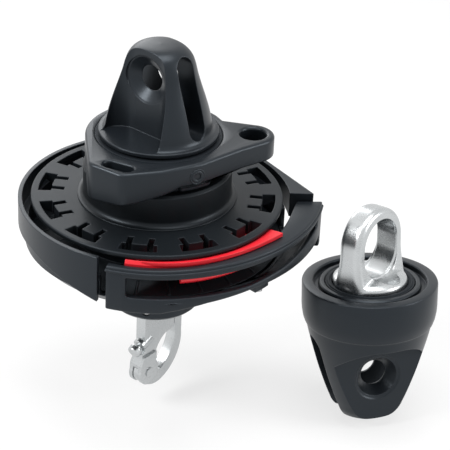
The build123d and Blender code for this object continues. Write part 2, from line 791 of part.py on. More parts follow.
# Lower housing under the cage, clamped on the spindle's foot
with BuildPart() as lower_housing:
    with BuildSketch(Plane.XZ):
        with BuildLine():
            Polyline(
                (spindle_foot_radius + seat_fit, z_housing_bottom),
                (housing_radius - 1.5, z_housing_bottom),
                (housing_radius, z_housing_bottom + 1.5),
                (housing_radius, z_housing_bottom + 13),
                (housing_top_radius - 4, z_floor_bottom - 3.5),
                (housing_top_radius, z_floor_bottom - 3.5),
                (housing_top_radius, z_floor_bottom),
                (spindle_foot_radius + seat_fit, z_floor_bottom),
                close=True,
            )
        make_face()
    revolve(axis=Axis.Z)
    for index in range(housing_rib_count):
        with BuildSketch(radial_plane(index * 360 / housing_rib_count + 22.5)):
            with BuildLine():
                Polyline(
                    (housing_radius - 1, z_housing_bottom + 8),
                    (housing_radius + 1.2, z_housing_bottom + 12),
                    (housing_top_radius - 0.5, z_floor_bottom - 2),
                    (housing_radius - 1, z_floor_bottom - 2),
                    close=True,
                )
            make_face()
        extrude(amount=1.2, both=True)
    with BuildSketch(Plane.XY.offset(z_floor_bottom - 3.5)):
        with PolarLocations(cage_screw_circle, cage_screw_count, start_angle=45):
            Circle(cage_screw_radius + seat_fit)
    extrude(amount=3.5, mode=Mode.SUBTRACT)
    with BuildSketch(Plane.XY.offset(z_housing_bottom)):
        with PolarLocations(cage_screw_circle, cage_screw_count, start_angle=45):
            Circle(cage_screw_head + 0.4)
    extrude(amount=z_floor_bottom - 3.5 - z_housing_bottom, mode=Mode.SUBTRACT)
    with BuildSketch(cross_plane(-100, z_housing_bottom + 5)):
        Circle(2.0 + seat_fit)
    extrude(amount=housing_radius + 2, mode=Mode.SUBTRACT)
save(lower_housing, "lower_housing")

with BuildPart() as housing_lock_screw:
    with BuildSketch(cross_plane(-100, z_housing_bottom + 5, spindle_foot_radius + 0.6)):
        Circle(2.0)
    extrude(amount=housing_radius - spindle_foot_radius - 1.4)
    with BuildSketch(cross_plane(-100, z_housing_bottom + 5, housing_radius - 0.8)):
        RegularPolygon(1.1, 6)
    extrude(amount=-1.6, mode=Mode.SUBTRACT)
save(housing_lock_screw, "housing_lock_screw")

# Tab on the housing's underside that stops the shackle from turning in it
tab_width = 4.0
tab_drop = 2.6
with BuildPart() as shackle_lock_tab:
    with BuildSketch(Plane.XY.offset(z_housing_bottom)):
        with Locations(Location((*polar(shackle_thickness / 2 + part_gap + tab_width / 2,
                                        shackle_azimuth - 90), 0), (0, 0, shackle_azimuth))):
            RectangleRounded(tab_width * 1.6, tab_width, 1.2)
    extrude(amount=-tab_drop)
    chamfer(shackle_lock_tab.faces().sort_by(Axis.Z)[0].edges(), 0.7)
save(shackle_lock_tab, "shackle_lock_tab")

with BuildPart() as cage_screws:
    with BuildSketch(Plane.XY.offset(z_floor_bottom - 3.5 - 2.2)):
        with PolarLocations(cage_screw_circle, cage_screw_count, start_angle=45):
            Circle(cage_screw_head)
    extrude(amount=2.2)
    with BuildSketch(Plane.XY.offset(z_floor_bottom - 3.5)):
        with PolarLocations(cage_screw_circle, cage_screw_count, start_angle=45):
            Circle(cage_screw_radius)
    extrude(amount=3.5 + floor_bottom - floor_top)
    with BuildSketch(Plane.XY.offset(z_floor_bottom - 3.5 - 2.2)):
        with PolarLocations(cage_screw_circle, cage_screw_count, start_angle=45):
            RegularPolygon(1.6, 6)
    extrude(amount=1.2, mode=Mode.SUBTRACT)
save(cage_screws, "cage_screws")

# Glide ring on the cage's floor, under the sheave
with BuildPart() as glide_ring:
    add(ring(housing_radius - 2, housing_radius + 2.5, z_floor_top, z_sheave_bottom - z_floor_top - flat_gap))
save(glide_ring, "glide_ring")

# Line guide: outer wall on two arcs, top ledge, sill, window for the two line leads
z_ledge_top = rim_top - ledge_top
z_ledge_bottom = z_ledge_top - ledge_thickness
z_sill_bottom = rim_top - sill_bottom
z_line_top = rim_top - line_window_top
z_line_bottom = rim_top - line_window_bottom
turn = polar(guide_radius, guide_turn_azimuth)
far_centre = polar(guide_far_radius - guide_radius, guide_turn_azimuth + 180)
corner_angle = degrees(asin((guide_corner_y - far_centre[1]) / guide_far_radius))


def guide_plan(inset):
    # area enclosed by the guide's outer wall, moved inwards by the inset
    with BuildSketch() as plan:
        with BuildLine():
            near = guide_radius - inset
            far = guide_far_radius - inset
            CenterArc((0, 0), near, guide_left_azimuth, guide_turn_azimuth - guide_left_azimuth)
            CenterArc(far_centre, far, guide_turn_azimuth, corner_angle - guide_turn_azimuth)
            far_end = (far_centre[0] + far * cos(radians(corner_angle)),
                       far_centre[1] + far * sin(radians(corner_angle)))
            Line(far_end, (0, 0))
            Line((0, 0), polar(near, guide_left_azimuth))
        make_face()
    return plan.sketch


def guide_ledge(inner):
    # ledge between the guide's wall and its curved inner edge, wider towards the right end
    with BuildSketch() as plan:
        add(guide_plan(0))
        with BuildLine():
            CenterArc((0, 0), inner, guide_left_azimuth - 6, -45 - (guide_left_azimuth - 6))
            Spline(polar(inner, -45), polar(inner + 1.5, -24), polar(inner + 2.6, -8), polar(inner + 8.6, 8),
                   tangents=[(sin(radians(45)), cos(radians(45))), (0.5, 1)])
            Polyline(polar(inner + 8.6, 8), (0, 40), (-60, -20), polar(inner, guide_left_azimuth - 6))
        make_face(mode=Mode.SUBTRACT)
    return plan.sketch


# The window for the line gets lower towards the guide's right end
with BuildPart() as line_window:
    with BuildSketch(Plane.XY.offset(z_line_bottom)):
        add(sector(bowl_radius - 3, guide_far_radius, line_window_left, line_window_right))
    extrude(amount=line_window_bottom - line_window_top)
    with BuildSketch(Plane.XZ):
        with BuildLine():
            Polyline((44, z_line_bottom), (62, z_line_bottom + 2.2), (78, z_line_top - 2.6), (90, z_line_top - 2.6),
                     (90, z_line_bottom - 1), (44, z_line_bottom - 1), close=True)
        make_face()
    extrude(amount=90, both=True, mode=Mode.SUBTRACT)

with BuildPart() as line_guide:
    with BuildSketch(Plane.XY.offset(rim_top - 27.5)):
        add(guide_plan(0))
        add(guide_plan(guide_wall), mode=Mode.SUBTRACT)
    extrude(amount=27.5 - ledge_top)
    with BuildSketch(Plane.XY.offset(rim_top - 27.5)):
        Circle(bowl_radius + part_gap)
    extrude(amount=27.5 - sill_bottom, mode=Mode.SUBTRACT)
    with BuildSketch(Plane.XY.offset(z_ledge_bottom)):
        add(guide_ledge(ledge_inner))
    extrude(amount=ledge_thickness)
    with BuildSketch(Plane.XY.offset(z_sill_bottom)):
        add(guide_plan(0))
        Circle(bowl_radius + part_gap, mode=Mode.SUBTRACT)
    extrude(amount=sill_thickness)
    add(line_window.part, mode=Mode.SUBTRACT)
    # lower edge, stepped down towards the left end
    with BuildSketch(Plane.XZ):
        with BuildLine():
            Polyline(
                (-40, rim_top - 27.5), (2, rim_top - 27.5), (24, rim_top - 23.7), (45, z_sill_bottom),
                (90, z_sill_bottom + 0.6), (90, rim_top - 40),
                (-40, rim_top - 40),
                close=True,
            )
        make_face()
    extrude(amount=90, mode=Mode.SUBTRACT)
    with BuildSketch(Plane.XY.offset(z_sill_bottom - 1)):
        for azimuth in guide_screw_azimuths:
            with Locations(polar(guide_screw_circle, azimuth)):
                Circle(guide_screw_radius + seat_fit)
    extrude(amount=2.6, mode=Mode.SUBTRACT)
    with BuildSketch(Plane.XY.offset(z_ledge_bottom)):
        with Locations(polar(*stripper_lug)):
            Circle(guide_screw_radius + seat_fit)
    extrude(amount=1.6, mode=Mode.SUBTRACT)
save(line_guide, "line_guide")

with BuildPart() as guide_screws:
    with BuildSketch(Plane.XY.offset(z_lug_bottom)):
        for azimuth in guide_screw_azimuths:
            with Locations(polar(guide_screw_circle, azimuth)):
                Circle(guide_screw_radius)
    extrude(amount=z_sill_bottom + 1.4 - z_lug_bottom)
    with BuildSketch(Plane.XY.offset(z_lug_bottom)):
        for azimuth in guide_screw_azimuths:
            with Locations(polar(guide_screw_circle, azimuth)):
                Circle(guide_screw_radius * 1.8)
    extrude(amount=-1.4)
save(guide_screws, "guide_screws")

# Line stripper: fills the groove between the two leads of the line
z_strip_top = rim_top - stripper_top
z_strip_bottom = rim_top - stripper_bottom
slope = (rim_under - core_upper) / (sheave_radius - core_radius)
wall_drop = stripper_clear * sqrt(1 + slope * slope)
z_strip_inner = core_upper + slope * (stripper_end_inner - core_radius) - wall_drop
z_strip_outer = rim_under + slope * part_gap - wall_drop
with BuildPart() as line_stripper:
    with BuildSketch(radial_plane(stripper_start)):
        with BuildLine():
            Polyline(
                (stripper_end_inner, z_strip_bottom),
                (stripper_end_inner, z_strip_inner),
                (sheave_radius + part_gap, z_strip_outer),
                (stripper_outer, z_strip_top),
                (stripper_outer, z_ledge_bottom - 0.3),
                (stripper_foot, z_ledge_bottom - 0.3),
                (stripper_foot, z_strip_bottom + 2.0),
                (stripper_foot - 2.0, z_strip_bottom),
                close=True,
            )
        make_face()
    revolve(axis=Axis.Z, revolution_arc=stripper_stop - stripper_start)
    with BuildSketch(Plane.XY.offset(z_strip_bottom - 1)):
        with BuildLine():
            Polyline((0, 0), polar(59.9, stripper_start - 2), polar(59.6, stripper_start))
            Spline(polar(59.6, stripper_start), polar(54.6, -97), polar(50.0, -88),
                   polar(46.6, -74), polar(stripper_end_inner, -58))
            CenterArc((0, 0), stripper_end_inner, -58, stripper_stop + 58)
            Line(polar(stripper_end_inner, stripper_stop), (0, 0))
        make_face()
    extrude(amount=stripper_bottom, mode=Mode.SUBTRACT)
    # the lead on the left runs out under the pointed end
    with BuildSketch(Plane.XY.offset(z_strip_bottom - 1)):
        add(sector(stripper_end_inner - 1, stripper_foot + 1, stripper_start - 2, stripper_low_start))
    extrude(amount=z_line_top + 0.1 - (z_strip_bottom - 1), mode=Mode.SUBTRACT)
    # lip that shows between the sheave's rim and the guide, lying on the ledge
    with BuildSketch(Plane.XY.offset(z_ledge_top + 0.3)):
        with BuildLine():
            CenterArc((0, 0), lip_inner, lip_start, stripper_stop - lip_start)
            Line(polar(lip_inner, stripper_stop), polar(lip_outer[-1], stripper_stop))
            Spline(*[polar(radius, lip_start + index * (stripper_stop - lip_start) / (len(lip_outer) - 1))
                     for index, radius in enumerate(lip_outer)][::-1])
            Line(polar(lip_outer[0], lip_start), polar(lip_inner, lip_start))
        make_face()
    extrude(amount=ledge_top - 0.3 - lip_top)
    with BuildSketch(Plane.XY.offset(z_ledge_bottom - 0.3 - 2.6)):
        with Locations(polar(*stripper_lug)):
            Circle(2.6)
        with Locations(Location((*polar(stripper_lug[0] - 2.2, stripper_lug[1]), 0), (0, 0, stripper_lug[1]))):
            Rectangle(6.4, 6.4)
    extrude(amount=2.6)
    with BuildSketch(Plane.XY.offset(z_ledge_bottom - 3.2)):
        with Locations(polar(*stripper_lug)):
            Circle(guide_screw_radius + seat_fit)
    extrude(amount=4, mode=Mode.SUBTRACT)
save(line_stripper, "line_stripper")

with BuildPart() as stripper_screw:
    with BuildSketch(Plane.XY.offset(z_ledge_bottom - 2.9 - 1.4)):
        with Locations(polar(*stripper_lug)):
            Circle(guide_screw_radius * 1.8)
    extrude(amount=1.4)
    with BuildSketch(Plane.XY.offset(z_ledge_bottom - 2.9)):
        with Locations(polar(*stripper_lug)):
            Circle(guide_screw_radius)
    extrude(amount=2.9 + 1.4)
save(stripper_screw, "stripper_screw")

# Snap shackle: every outline lies in its own upright plane
shackle_plane = Plane(
    origin=(0, 0, 0),
    x_dir=(*polar(1, shackle_azimuth), 0),
    z_dir=(sin(radians(shackle_azimuth)), -cos(radians(shackle_azimuth)), 0),
)
tilt = radians(plunger_tilt)
pin_dir = (cos(tilt), sin(tilt))


def along_pin(distance, side=0.0):
    # point in the shackle's plane, measured from the knob's middle along the plunger
    return (plunger_t + distance * pin_dir[0] - side * pin_dir[1],
            plunger_z + distance * pin_dir[1] + side * pin_dir[0])


def pin_plane(distance):
    # plane across the plunger at this distance from the knob's middle, facing along it
    place = shackle_plane.from_local_coords(Vector(*along_pin(distance), 0))
    axis = shackle_plane.from_local_coords(Vector(*pin_dir, 0))
    return Plane(origin=place, x_dir=shackle_plane.z_dir, z_dir=axis)


mouth = 3.6                # from the knob's middle to the mouth of the spring chamber
pin_end = (block_right - plunger_t) / pin_dir[0]
block_top = z_housing_bottom
with BuildPart() as shackle_body:
    with BuildSketch(shackle_plane):
        with BuildLine():
            Polyline(
                (block_left, block_top), (block_left, 22.0), (block_left - 1.6, 17.4),
                (-11.4, 12.6), (-13.2, 9.0), (pivot_t, pivot_z), (-1.6, 9.7),
                (-0.4, 9.9), (-0.7, 14.0),
            )
            ThreePointArc((-0.7, 14.0), (2.6, 18.4), (10.2, 21.2))
            Polyline((10.2, 21.2), (block_right, 21.6), (block_right, block_top), (block_left, block_top))
        make_face()
    extrude(amount=shackle_thickness / 2, both=True)
    with BuildSketch(shackle_plane):
        with Locations((pivot_t, pivot_z)):
            Circle(ear_outer)
        with BuildLine():
            Polyline((-13.2, 4.5), (-12.9, 9.4), (-10.8, 13.6), (-1.6, 13.6), (-1.6, 9.0), (-3.0, 4.5), close=True)
        make_face()
    extrude(amount=shackle_fork_width / 2, both=True)
    with BuildSketch(shackle_plane):
        with Locations((pivot_t, pivot_z)):
            Circle(fork_relief)
    extrude(amount=fork_slot_width / 2, both=True, mode=Mode.SUBTRACT)
    with BuildSketch(shackle_plane):
        with Locations((pivot_t, pivot_z)):
            Circle(rivet_radius + seat_fit)
    extrude(amount=shackle_fork_width, both=True, mode=Mode.SUBTRACT)
    # round boss for the plunger's spring, its chamber and the pin's bore
    with BuildSketch(pin_plane(mouth)):
        Circle(knob_radius + part_gap)
    extrude(amount=-6.0, mode=Mode.SUBTRACT)
    with BuildSketch(pin_plane(mouth)):
        Circle(chamber_radius + 1.3)
    extrude(amount=7.0)
    with BuildSketch(pin_plane(mouth)):
        Circle(chamber_radius)
    extrude(amount=chamber_depth, mode=Mode.SUBTRACT)
    with BuildSketch(pin_plane(mouth)):
        Circle(pin_radius + run_fit)
    extrude(amount=40, mode=Mode.SUBTRACT)
    # stem and stud up into the spindle
    with BuildSketch(Plane.XY.offset(block_top)):
        Circle(spindle_foot_radius)
    extrude(amount=spindle_bottom - block_top - 0.2)
    with BuildSketch(Plane.XY.offset(spindle_bottom - 0.2)):
        Circle(stud_radius)
    extrude(amount=stud_length)
    with BuildSketch(cross_plane(shackle_azimuth, z_spindle_pin)):
        Circle(spindle_pin_radius + seat_fit)
    extrude(amount=stud_radius * 2, both=True, mode=Mode.SUBTRACT)
save(shackle_body, "shackle_body")

# Gate: heel tongue on the rivet, round the bottom, up to the nose beside the block
nose_t = block_right + nose_gap
nose_top = 34.0
with BuildPart() as shackle_gate:
    with BuildSketch(shackle_plane) as gate_outline:
        with BuildLine():
            Polyline((nose_t, nose_top - 1.5), (nose_t + 1.5, nose_top), (17.0, nose_top), (18.4, nose_top - 3),
                     (18.2, 17.0))
            ThreePointArc((18.2, 17.0), (13.6, 1.2), (2.0, -5.9))
            ThreePointArc((2.0, -5.9), (-3.4, -5.6), (-8.4, -3.0))
            Polyline((-8.4, -3.0), (pivot_t, pivot_z), (-3.2, 5.6), (0.4, 5.6), (0.9, 2.8))
            ThreePointArc((0.9, 2.8), (2.0, 0.5), (4.2, 1.2))
            ThreePointArc((4.2, 1.2), (10.8, 8.3), (14.0, 17.0))
            Line((14.0, 17.0), (nose_t, 24.0))
            Line((nose_t, 24.0), (nose_t, nose_top - 1.5))
        make_face()
        with Locations((pivot_t, pivot_z)):
            Circle(ear_outer + part_gap, mode=Mode.SUBTRACT)
    extrude(amount=shackle_thickness / 2, both=True)
    with BuildSketch(shackle_plane):
        with Locations((pivot_t, pivot_z)):
            Circle(tongue_radius)
        with BuildLine():
            Polyline((-8.4, -2.4), (pivot_t, pivot_z), (-2.0, 5.0), (-0.4, 0.0), (-3.0, -4.4), close=True)
        make_face()
    extrude(amount=tongue_thickness / 2, both=True)
    with BuildSketch(shackle_plane):
        with Locations((pivot_t, pivot_z)):
            Circle(rivet_radius + run_fit)
    extrude(amount=shackle_thickness, both=True, mode=Mode.SUBTRACT)
    # dimple for the plunger's tip, a cone a little wider than the tip
    tip_height = pin_radius / tan(radians(tip_half_angle))
    tip_start = pin_end + 0.1
    with BuildSketch(pin_plane(tip_start - 2.0)):
        Circle(pin_radius + tip_gap + 2.0 * tan(radians(tip_half_angle)))
    extrude(amount=tip_height + 2.0 + tip_gap / tan(radians(tip_half_angle)) - 0.05,
            taper=tip_half_angle, mode=Mode.SUBTRACT)
save(shackle_gate, "shackle_gate")

with BuildPart() as shackle_rivet:
    with BuildSketch(shackle_plane):
        with Locations((pivot_t, pivot_z)):
            Circle(rivet_radius)
    extrude(amount=shackle_fork_width / 2, both=True)
    for side in (1, -1):
        with BuildSketch(shackle_plane.offset(side * shackle_fork_width / 2)):
            with Locations((pivot_t, pivot_z)):
                Circle(rivet_head_radius)
        extrude(amount=side * rivet_head_height)
save(shackle_rivet, "shackle_rivet")

# Plunger: pin with its collar and blunt tip, knob outside, spring between plug and collar
collar_at = mouth + chamber_depth - 0.3
with BuildPart() as shackle_plunger:
    with BuildSketch(pin_plane(0.8)):
        Circle(pin_radius)
    extrude(amount=tip_start - 0.8)
    with BuildSketch(pin_plane(tip_start)):
        Circle(pin_radius)
    extrude(amount=tip_height * 0.9, taper=tip_half_angle)
    with BuildSketch(pin_plane(collar_at)):
        Circle(chamber_radius - collar_fit)
    extrude(amount=-collar_half * 2)
save(shackle_plunger, "shackle_plunger")

with BuildPart() as plunger_knob:
    with BuildSketch(pin_plane(-knob_length / 2)):
        Circle(knob_radius - 0.6)
    extrude(amount=knob_length, taper=-6)
    fillet(plunger_knob.edges().filter_by(GeomType.CIRCLE), 0.9)
    with BuildSketch(pin_plane(0.6)):
        Circle(pin_radius + seat_fit)
    extrude(amount=knob_length, mode=Mode.SUBTRACT)
save(plunger_knob, "plunger_knob")

plug_length = 1.2
with BuildPart() as plunger_plug:
    with BuildSketch(pin_plane(mouth)):
        Circle(chamber_radius - 0.02)
        Circle(pin_radius + run_fit, mode=Mode.SUBTRACT)
    extrude(amount=plug_length)
save(plunger_plug, "plunger_plug")

spring_length = collar_at - collar_half * 2 - mouth - plug_length - spring_wire * 2 - 0.2
spring_radius = (pin_radius + chamber_radius) / 2
with BuildPart() as plunger_spring:
    with BuildLine() as coil:
        Helix(spring_length / spring_turns, spring_length, spring_radius)
    with BuildSketch(Plane(origin=coil.line @ 0, z_dir=coil.line % 0)):
        Circle(spring_wire)
    sweep(path=coil.line, is_frenet=True)
spring_place = pin_plane(mouth + plug_length + spring_wire + 0.1)
plunger_spring.part = spring_place.location * plunger_spring.part
save(plunger_spring, "plunger_spring")


# Head swivel: its own frame leans a little away from the viewer and to the side
swivel_up = Vector(sin(radians(swivel_side_lean)),
                   sin(radians(swivel_lean)) * cos(radians(swivel_side_lean)),
                   cos(radians(swivel_lean)) * cos(radians(swivel_side_lean)))
swivel_right = (Vector(1, 0, 0) - swivel_up * swivel_up.X).normalized()
swivel_base = Plane(origin=(swivel_x, swivel_y, swivel_z), x_dir=swivel_right, z_dir=swivel_up)


def swivel_profile():
    # upright plane through the swivel's axis: local x runs outwards, local y up the axis
    return Plane(origin=swivel_base.origin, x_dir=swivel_base.x_dir, z_dir=-swivel_base.y_dir)


def swivel_cross(azimuth, height, distance=0.0):
    # plane that faces outwards at this azimuth about the swivel's axis
    out = Vector(*polar(1, azimuth), 0)
    side = Vector(-sin(radians(azimuth)), cos(radians(azimuth)), 0)
    place = swivel_base.from_local_coords(out * distance + Vector(0, 0, height))
    face = swivel_base.from_local_coords(out) - swivel_base.origin
    across = swivel_base.from_local_coords(side) - swivel_base.origin
    return Plane(origin=place, x_dir=across, z_dir=face)


swivel_bore_azimuth = swivel_slot_azimuth - 90
swivel_axis = Axis(swivel_base.origin, swivel_base.z_dir)
swivel_foot = 14.0
swivel_waist = (20.8, -58.0)
swivel_band_low = (swivel_rim_radius, -swivel_band_depth)
with BuildPart() as swivel_fork:
    with BuildSketch(swivel_profile()):
        with BuildLine():
            Polyline(
                (0, -swivel_height), (swivel_foot, -swivel_height),
            )
            ThreePointArc((swivel_foot, -swivel_height), (17.6, -66.0), swivel_waist)
            Spline(swivel_waist, (25.2, -45.0), (29.8, -28.0), (31.8, -21.0), swivel_band_low,
                   tangents=[(0.3, 1), (0.02, 1)])
            Polyline(
                swivel_band_low, (swivel_rim_radius, -1.0), (swivel_rim_radius - 1.0, 0),
                (swivel_rim_inner + 0.6, 0), (swivel_rim_inner, -0.6), (swivel_rim_inner, -swivel_recess),
                (swivel_cavity, -swivel_recess), (swivel_cavity, -swivel_cavity_depth),
                (0, -swivel_cavity_depth), (0, -swivel_height),
            )
        make_face()
    revolve(axis=swivel_axis)
    with BuildSketch(swivel_cross(swivel_slot_azimuth, -swivel_height - 10)):
        with Locations((0, (swivel_height + 10 - swivel_slot_top) / 2)):
            SlotOverall(swivel_height + 10 - swivel_slot_top, swivel_slot_half * 2, rotation=90)
    extrude(amount=swivel_rim_radius + 2, both=True, mode=Mode.SUBTRACT)
    for side in (0, 180):
        pocket_height = 2 * (swivel_height - swivel_pocket_top)
        with BuildSketch(swivel_cross(swivel_bore_azimuth + side, -swivel_height, swivel_flat)):
            RectangleRounded(swivel_pocket_half * 2, pocket_height, swivel_pocket_half * 0.75)
        extrude(amount=swivel_rim_radius, mode=Mode.SUBTRACT)
        with BuildSketch(swivel_cross(swivel_bore_azimuth + side, -swivel_bore_depth, swivel_flat)):
            Circle(swivel_sink_radius)
        with BuildSketch(swivel_cross(swivel_bore_azimuth + side, -swivel_bore_depth,
                                      swivel_flat - swivel_sink_depth)):
            Circle(swivel_bore_radius)
        loft(mode=Mode.SUBTRACT)
    with BuildSketch(swivel_cross(swivel_bore_azimuth, -swivel_bore_depth)):
        Circle(swivel_bore_radius)
    extrude(amount=swivel_flat + 1, both=True, mode=Mode.SUBTRACT)
    # rounded lower end of the two ears
    with BuildSketch(swivel_cross(swivel_bore_azimuth, -swivel_height)):
        Rectangle(80, 40, align=(Align.CENTER, Align.CENTER))
        with Locations((0, swivel_height - swivel_bore_depth)):
            Circle(swivel_height - swivel_bore_depth, mode=Mode.SUBTRACT)
        with Locations((0, 20)):
            Rectangle(80, 15, align=(Align.CENTER, Align.CENTER), mode=Mode.SUBTRACT)
    extrude(amount=40, both=True, mode=Mode.SUBTRACT)
save(swivel_fork, "swivel_fork")

# Cap screwed into the body's mouth: it holds the ball bearing down
z_cap_bottom = -swivel_recess - swivel_cap_thickness
with BuildPart() as swivel_cap:
    with BuildSketch(swivel_profile()):
        with BuildLine():
            Polyline(
                (swivel_stem_radius + 1.0, z_cap_bottom),
                (swivel_cavity - seat_fit / 2, z_cap_bottom),
                (swivel_cavity - seat_fit / 2, -1.4),
                (swivel_cavity - 0.9, -0.6),
                (swivel_seal_outer + 0.7, -0.6),
                (swivel_seal_outer, -1.4),
                (swivel_seal_outer, -6.4),
                (swivel_stem_radius + 1.0, -6.4),
                close=True,
            )
        make_face()
    revolve(axis=swivel_axis)
save(swivel_cap, "swivel_cap")

with BuildPart() as swivel_seal:
    with BuildSketch(swivel_base.offset(-6.2)):
        Circle(swivel_seal_outer - 0.1)
        Circle(eye_base_radius + part_gap, mode=Mode.SUBTRACT)
    extrude(amount=5.4)
save(swivel_seal, "swivel_seal")

z_swivel_upper = z_cap_bottom - washer_thickness
z_swivel_ball = z_swivel_upper - swivel_ball_radius - ball_gap + groove_depth
z_swivel_lower = z_swivel_ball - swivel_ball_radius + groove_depth - washer_thickness
with BuildPart() as swivel_upper_washer:
    add(grooved_ring(swivel_stem_radius + 1.0, swivel_washer_outer, z_swivel_upper, washer_thickness,
                     swivel_ball_circle, swivel_ball_radius, z_swivel_ball, ball_gap, swivel_base))
save(swivel_upper_washer, "swivel_upper_washer")

with BuildPart() as swivel_lower_washer:
    add(grooved_ring(swivel_stem_radius + seat_fit, swivel_washer_outer, z_swivel_lower, washer_thickness,
                     swivel_ball_circle, swivel_ball_radius, z_swivel_ball, 0.02, swivel_base))
save(swivel_lower_washer, "swivel_lower_washer")

with BuildPart() as swivel_balls:
    add(ball_set(swivel_ball_radius, swivel_ball_circle, swivel_ball_count, z_swivel_ball, swivel_base))
save(swivel_balls, "swivel_balls")

with BuildPart() as swivel_nut:
    with BuildSketch(swivel_base.offset(z_swivel_lower - swivel_nut_height)):
        RegularPolygon(swivel_nut_radius, 6)
        Circle(swivel_stem_radius + seat_fit, mode=Mode.SUBTRACT)
    extrude(amount=swivel_nut_height)
save(swivel_nut, "swivel_nut")

# Eye: upright ring with rounded rims that flares into a round base, and the stem that carries the nut
z_eye_top = eye_height + eye_outer_rise
with BuildPart() as swivel_eye:
    with BuildSketch(swivel_cross(eye_azimuth, z_eye_top)):
        Circle(eye_outer_half)
        with Locations((0, -z_eye_top / 2)):
            Rectangle(eye_outer_half * 2, z_eye_top)
    extrude(amount=eye_thickness / 2, both=True)
    eye_axis = Axis(swivel_base.origin, swivel_cross(eye_azimuth, 0).z_dir)
    eye_faces = swivel_eye.faces().filter_by(GeomType.PLANE).sort_by(eye_axis)
    fillet(eye_faces[0].edges() + eye_faces[-1].edges(), eye_round)
    with BuildSketch(swivel_base.offset(-10)):
        Circle(eye_outer_half * 2)
        Circle(eye_base_radius, mode=Mode.SUBTRACT)
    extrude(amount=10 + z_eye_top, mode=Mode.SUBTRACT)
    # flared base
    with BuildSketch(swivel_profile()):
        with BuildLine():
            Polyline((0, -6.0), (eye_base_radius, -6.0), (eye_base_radius, eye_base_top))
            ThreePointArc((eye_base_radius, eye_base_top), (11.0, 2.6), (7.6, eye_flare_height))
            Polyline((7.6, eye_flare_height), (0, eye_flare_height), (0, -6.0))
        make_face()
    revolve(axis=swivel_axis)
    with BuildSketch(swivel_cross(eye_azimuth, eye_height)):
        with Locations((0, eye_hole_rise), (0, -eye_hole_rise)):
            Circle(eye_hole_radius)
        Rectangle(eye_hole_radius * 2, eye_hole_rise * 2)
    extrude(amount=eye_base_radius, both=True, mode=Mode.SUBTRACT)
    with BuildSketch(swivel_base.offset(z_swivel_lower - swivel_nut_height - 0.4)):
        Circle(swivel_stem_radius)
    extrude(amount=-(z_swivel_lower - swivel_nut_height - 0.4) - 5.0)
save(swivel_eye, "swivel_eye")
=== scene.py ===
import bpy
import bmesh
import json
from math import cos, sin, pi, radians
from mathutils import Vector, Matrix


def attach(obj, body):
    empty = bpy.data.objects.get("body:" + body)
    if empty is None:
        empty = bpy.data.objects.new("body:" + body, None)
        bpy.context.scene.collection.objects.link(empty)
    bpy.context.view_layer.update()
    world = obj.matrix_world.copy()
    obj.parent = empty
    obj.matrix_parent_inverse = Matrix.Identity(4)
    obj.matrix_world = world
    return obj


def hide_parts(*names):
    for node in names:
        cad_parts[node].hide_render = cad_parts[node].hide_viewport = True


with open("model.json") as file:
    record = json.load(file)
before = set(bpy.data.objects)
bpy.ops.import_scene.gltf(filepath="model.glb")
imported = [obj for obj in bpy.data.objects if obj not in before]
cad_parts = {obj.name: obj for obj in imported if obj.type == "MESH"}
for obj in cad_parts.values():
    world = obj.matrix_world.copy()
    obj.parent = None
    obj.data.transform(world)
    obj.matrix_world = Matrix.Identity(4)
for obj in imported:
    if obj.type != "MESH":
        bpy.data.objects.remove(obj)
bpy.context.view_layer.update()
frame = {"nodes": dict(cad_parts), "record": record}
print("packed model loaded:", len(frame["nodes"]), "nodes")

mm = 0.001
nodes = frame["nodes"]


# shader helper
class Wire:
    # one output socket: Python maths on it adds Math nodes
    def __init__(self, finish, socket):
        self.finish, self.socket = finish, socket

    def maths(self, operation, *values):
        return self.finish.add("ShaderNodeMath", {"operation": operation}, dict(enumerate(values)))

    def __add__(self, other): return self.maths("ADD", self, other)
    def __radd__(self, other): return self.maths("ADD", other, self)
    def __sub__(self, other): return self.maths("SUBTRACT", self, other)
    def __rsub__(self, other): return self.maths("SUBTRACT", other, self)
    def __mul__(self, other): return self.maths("MULTIPLY", self, other)
    def __rmul__(self, other): return self.maths("MULTIPLY", other, self)


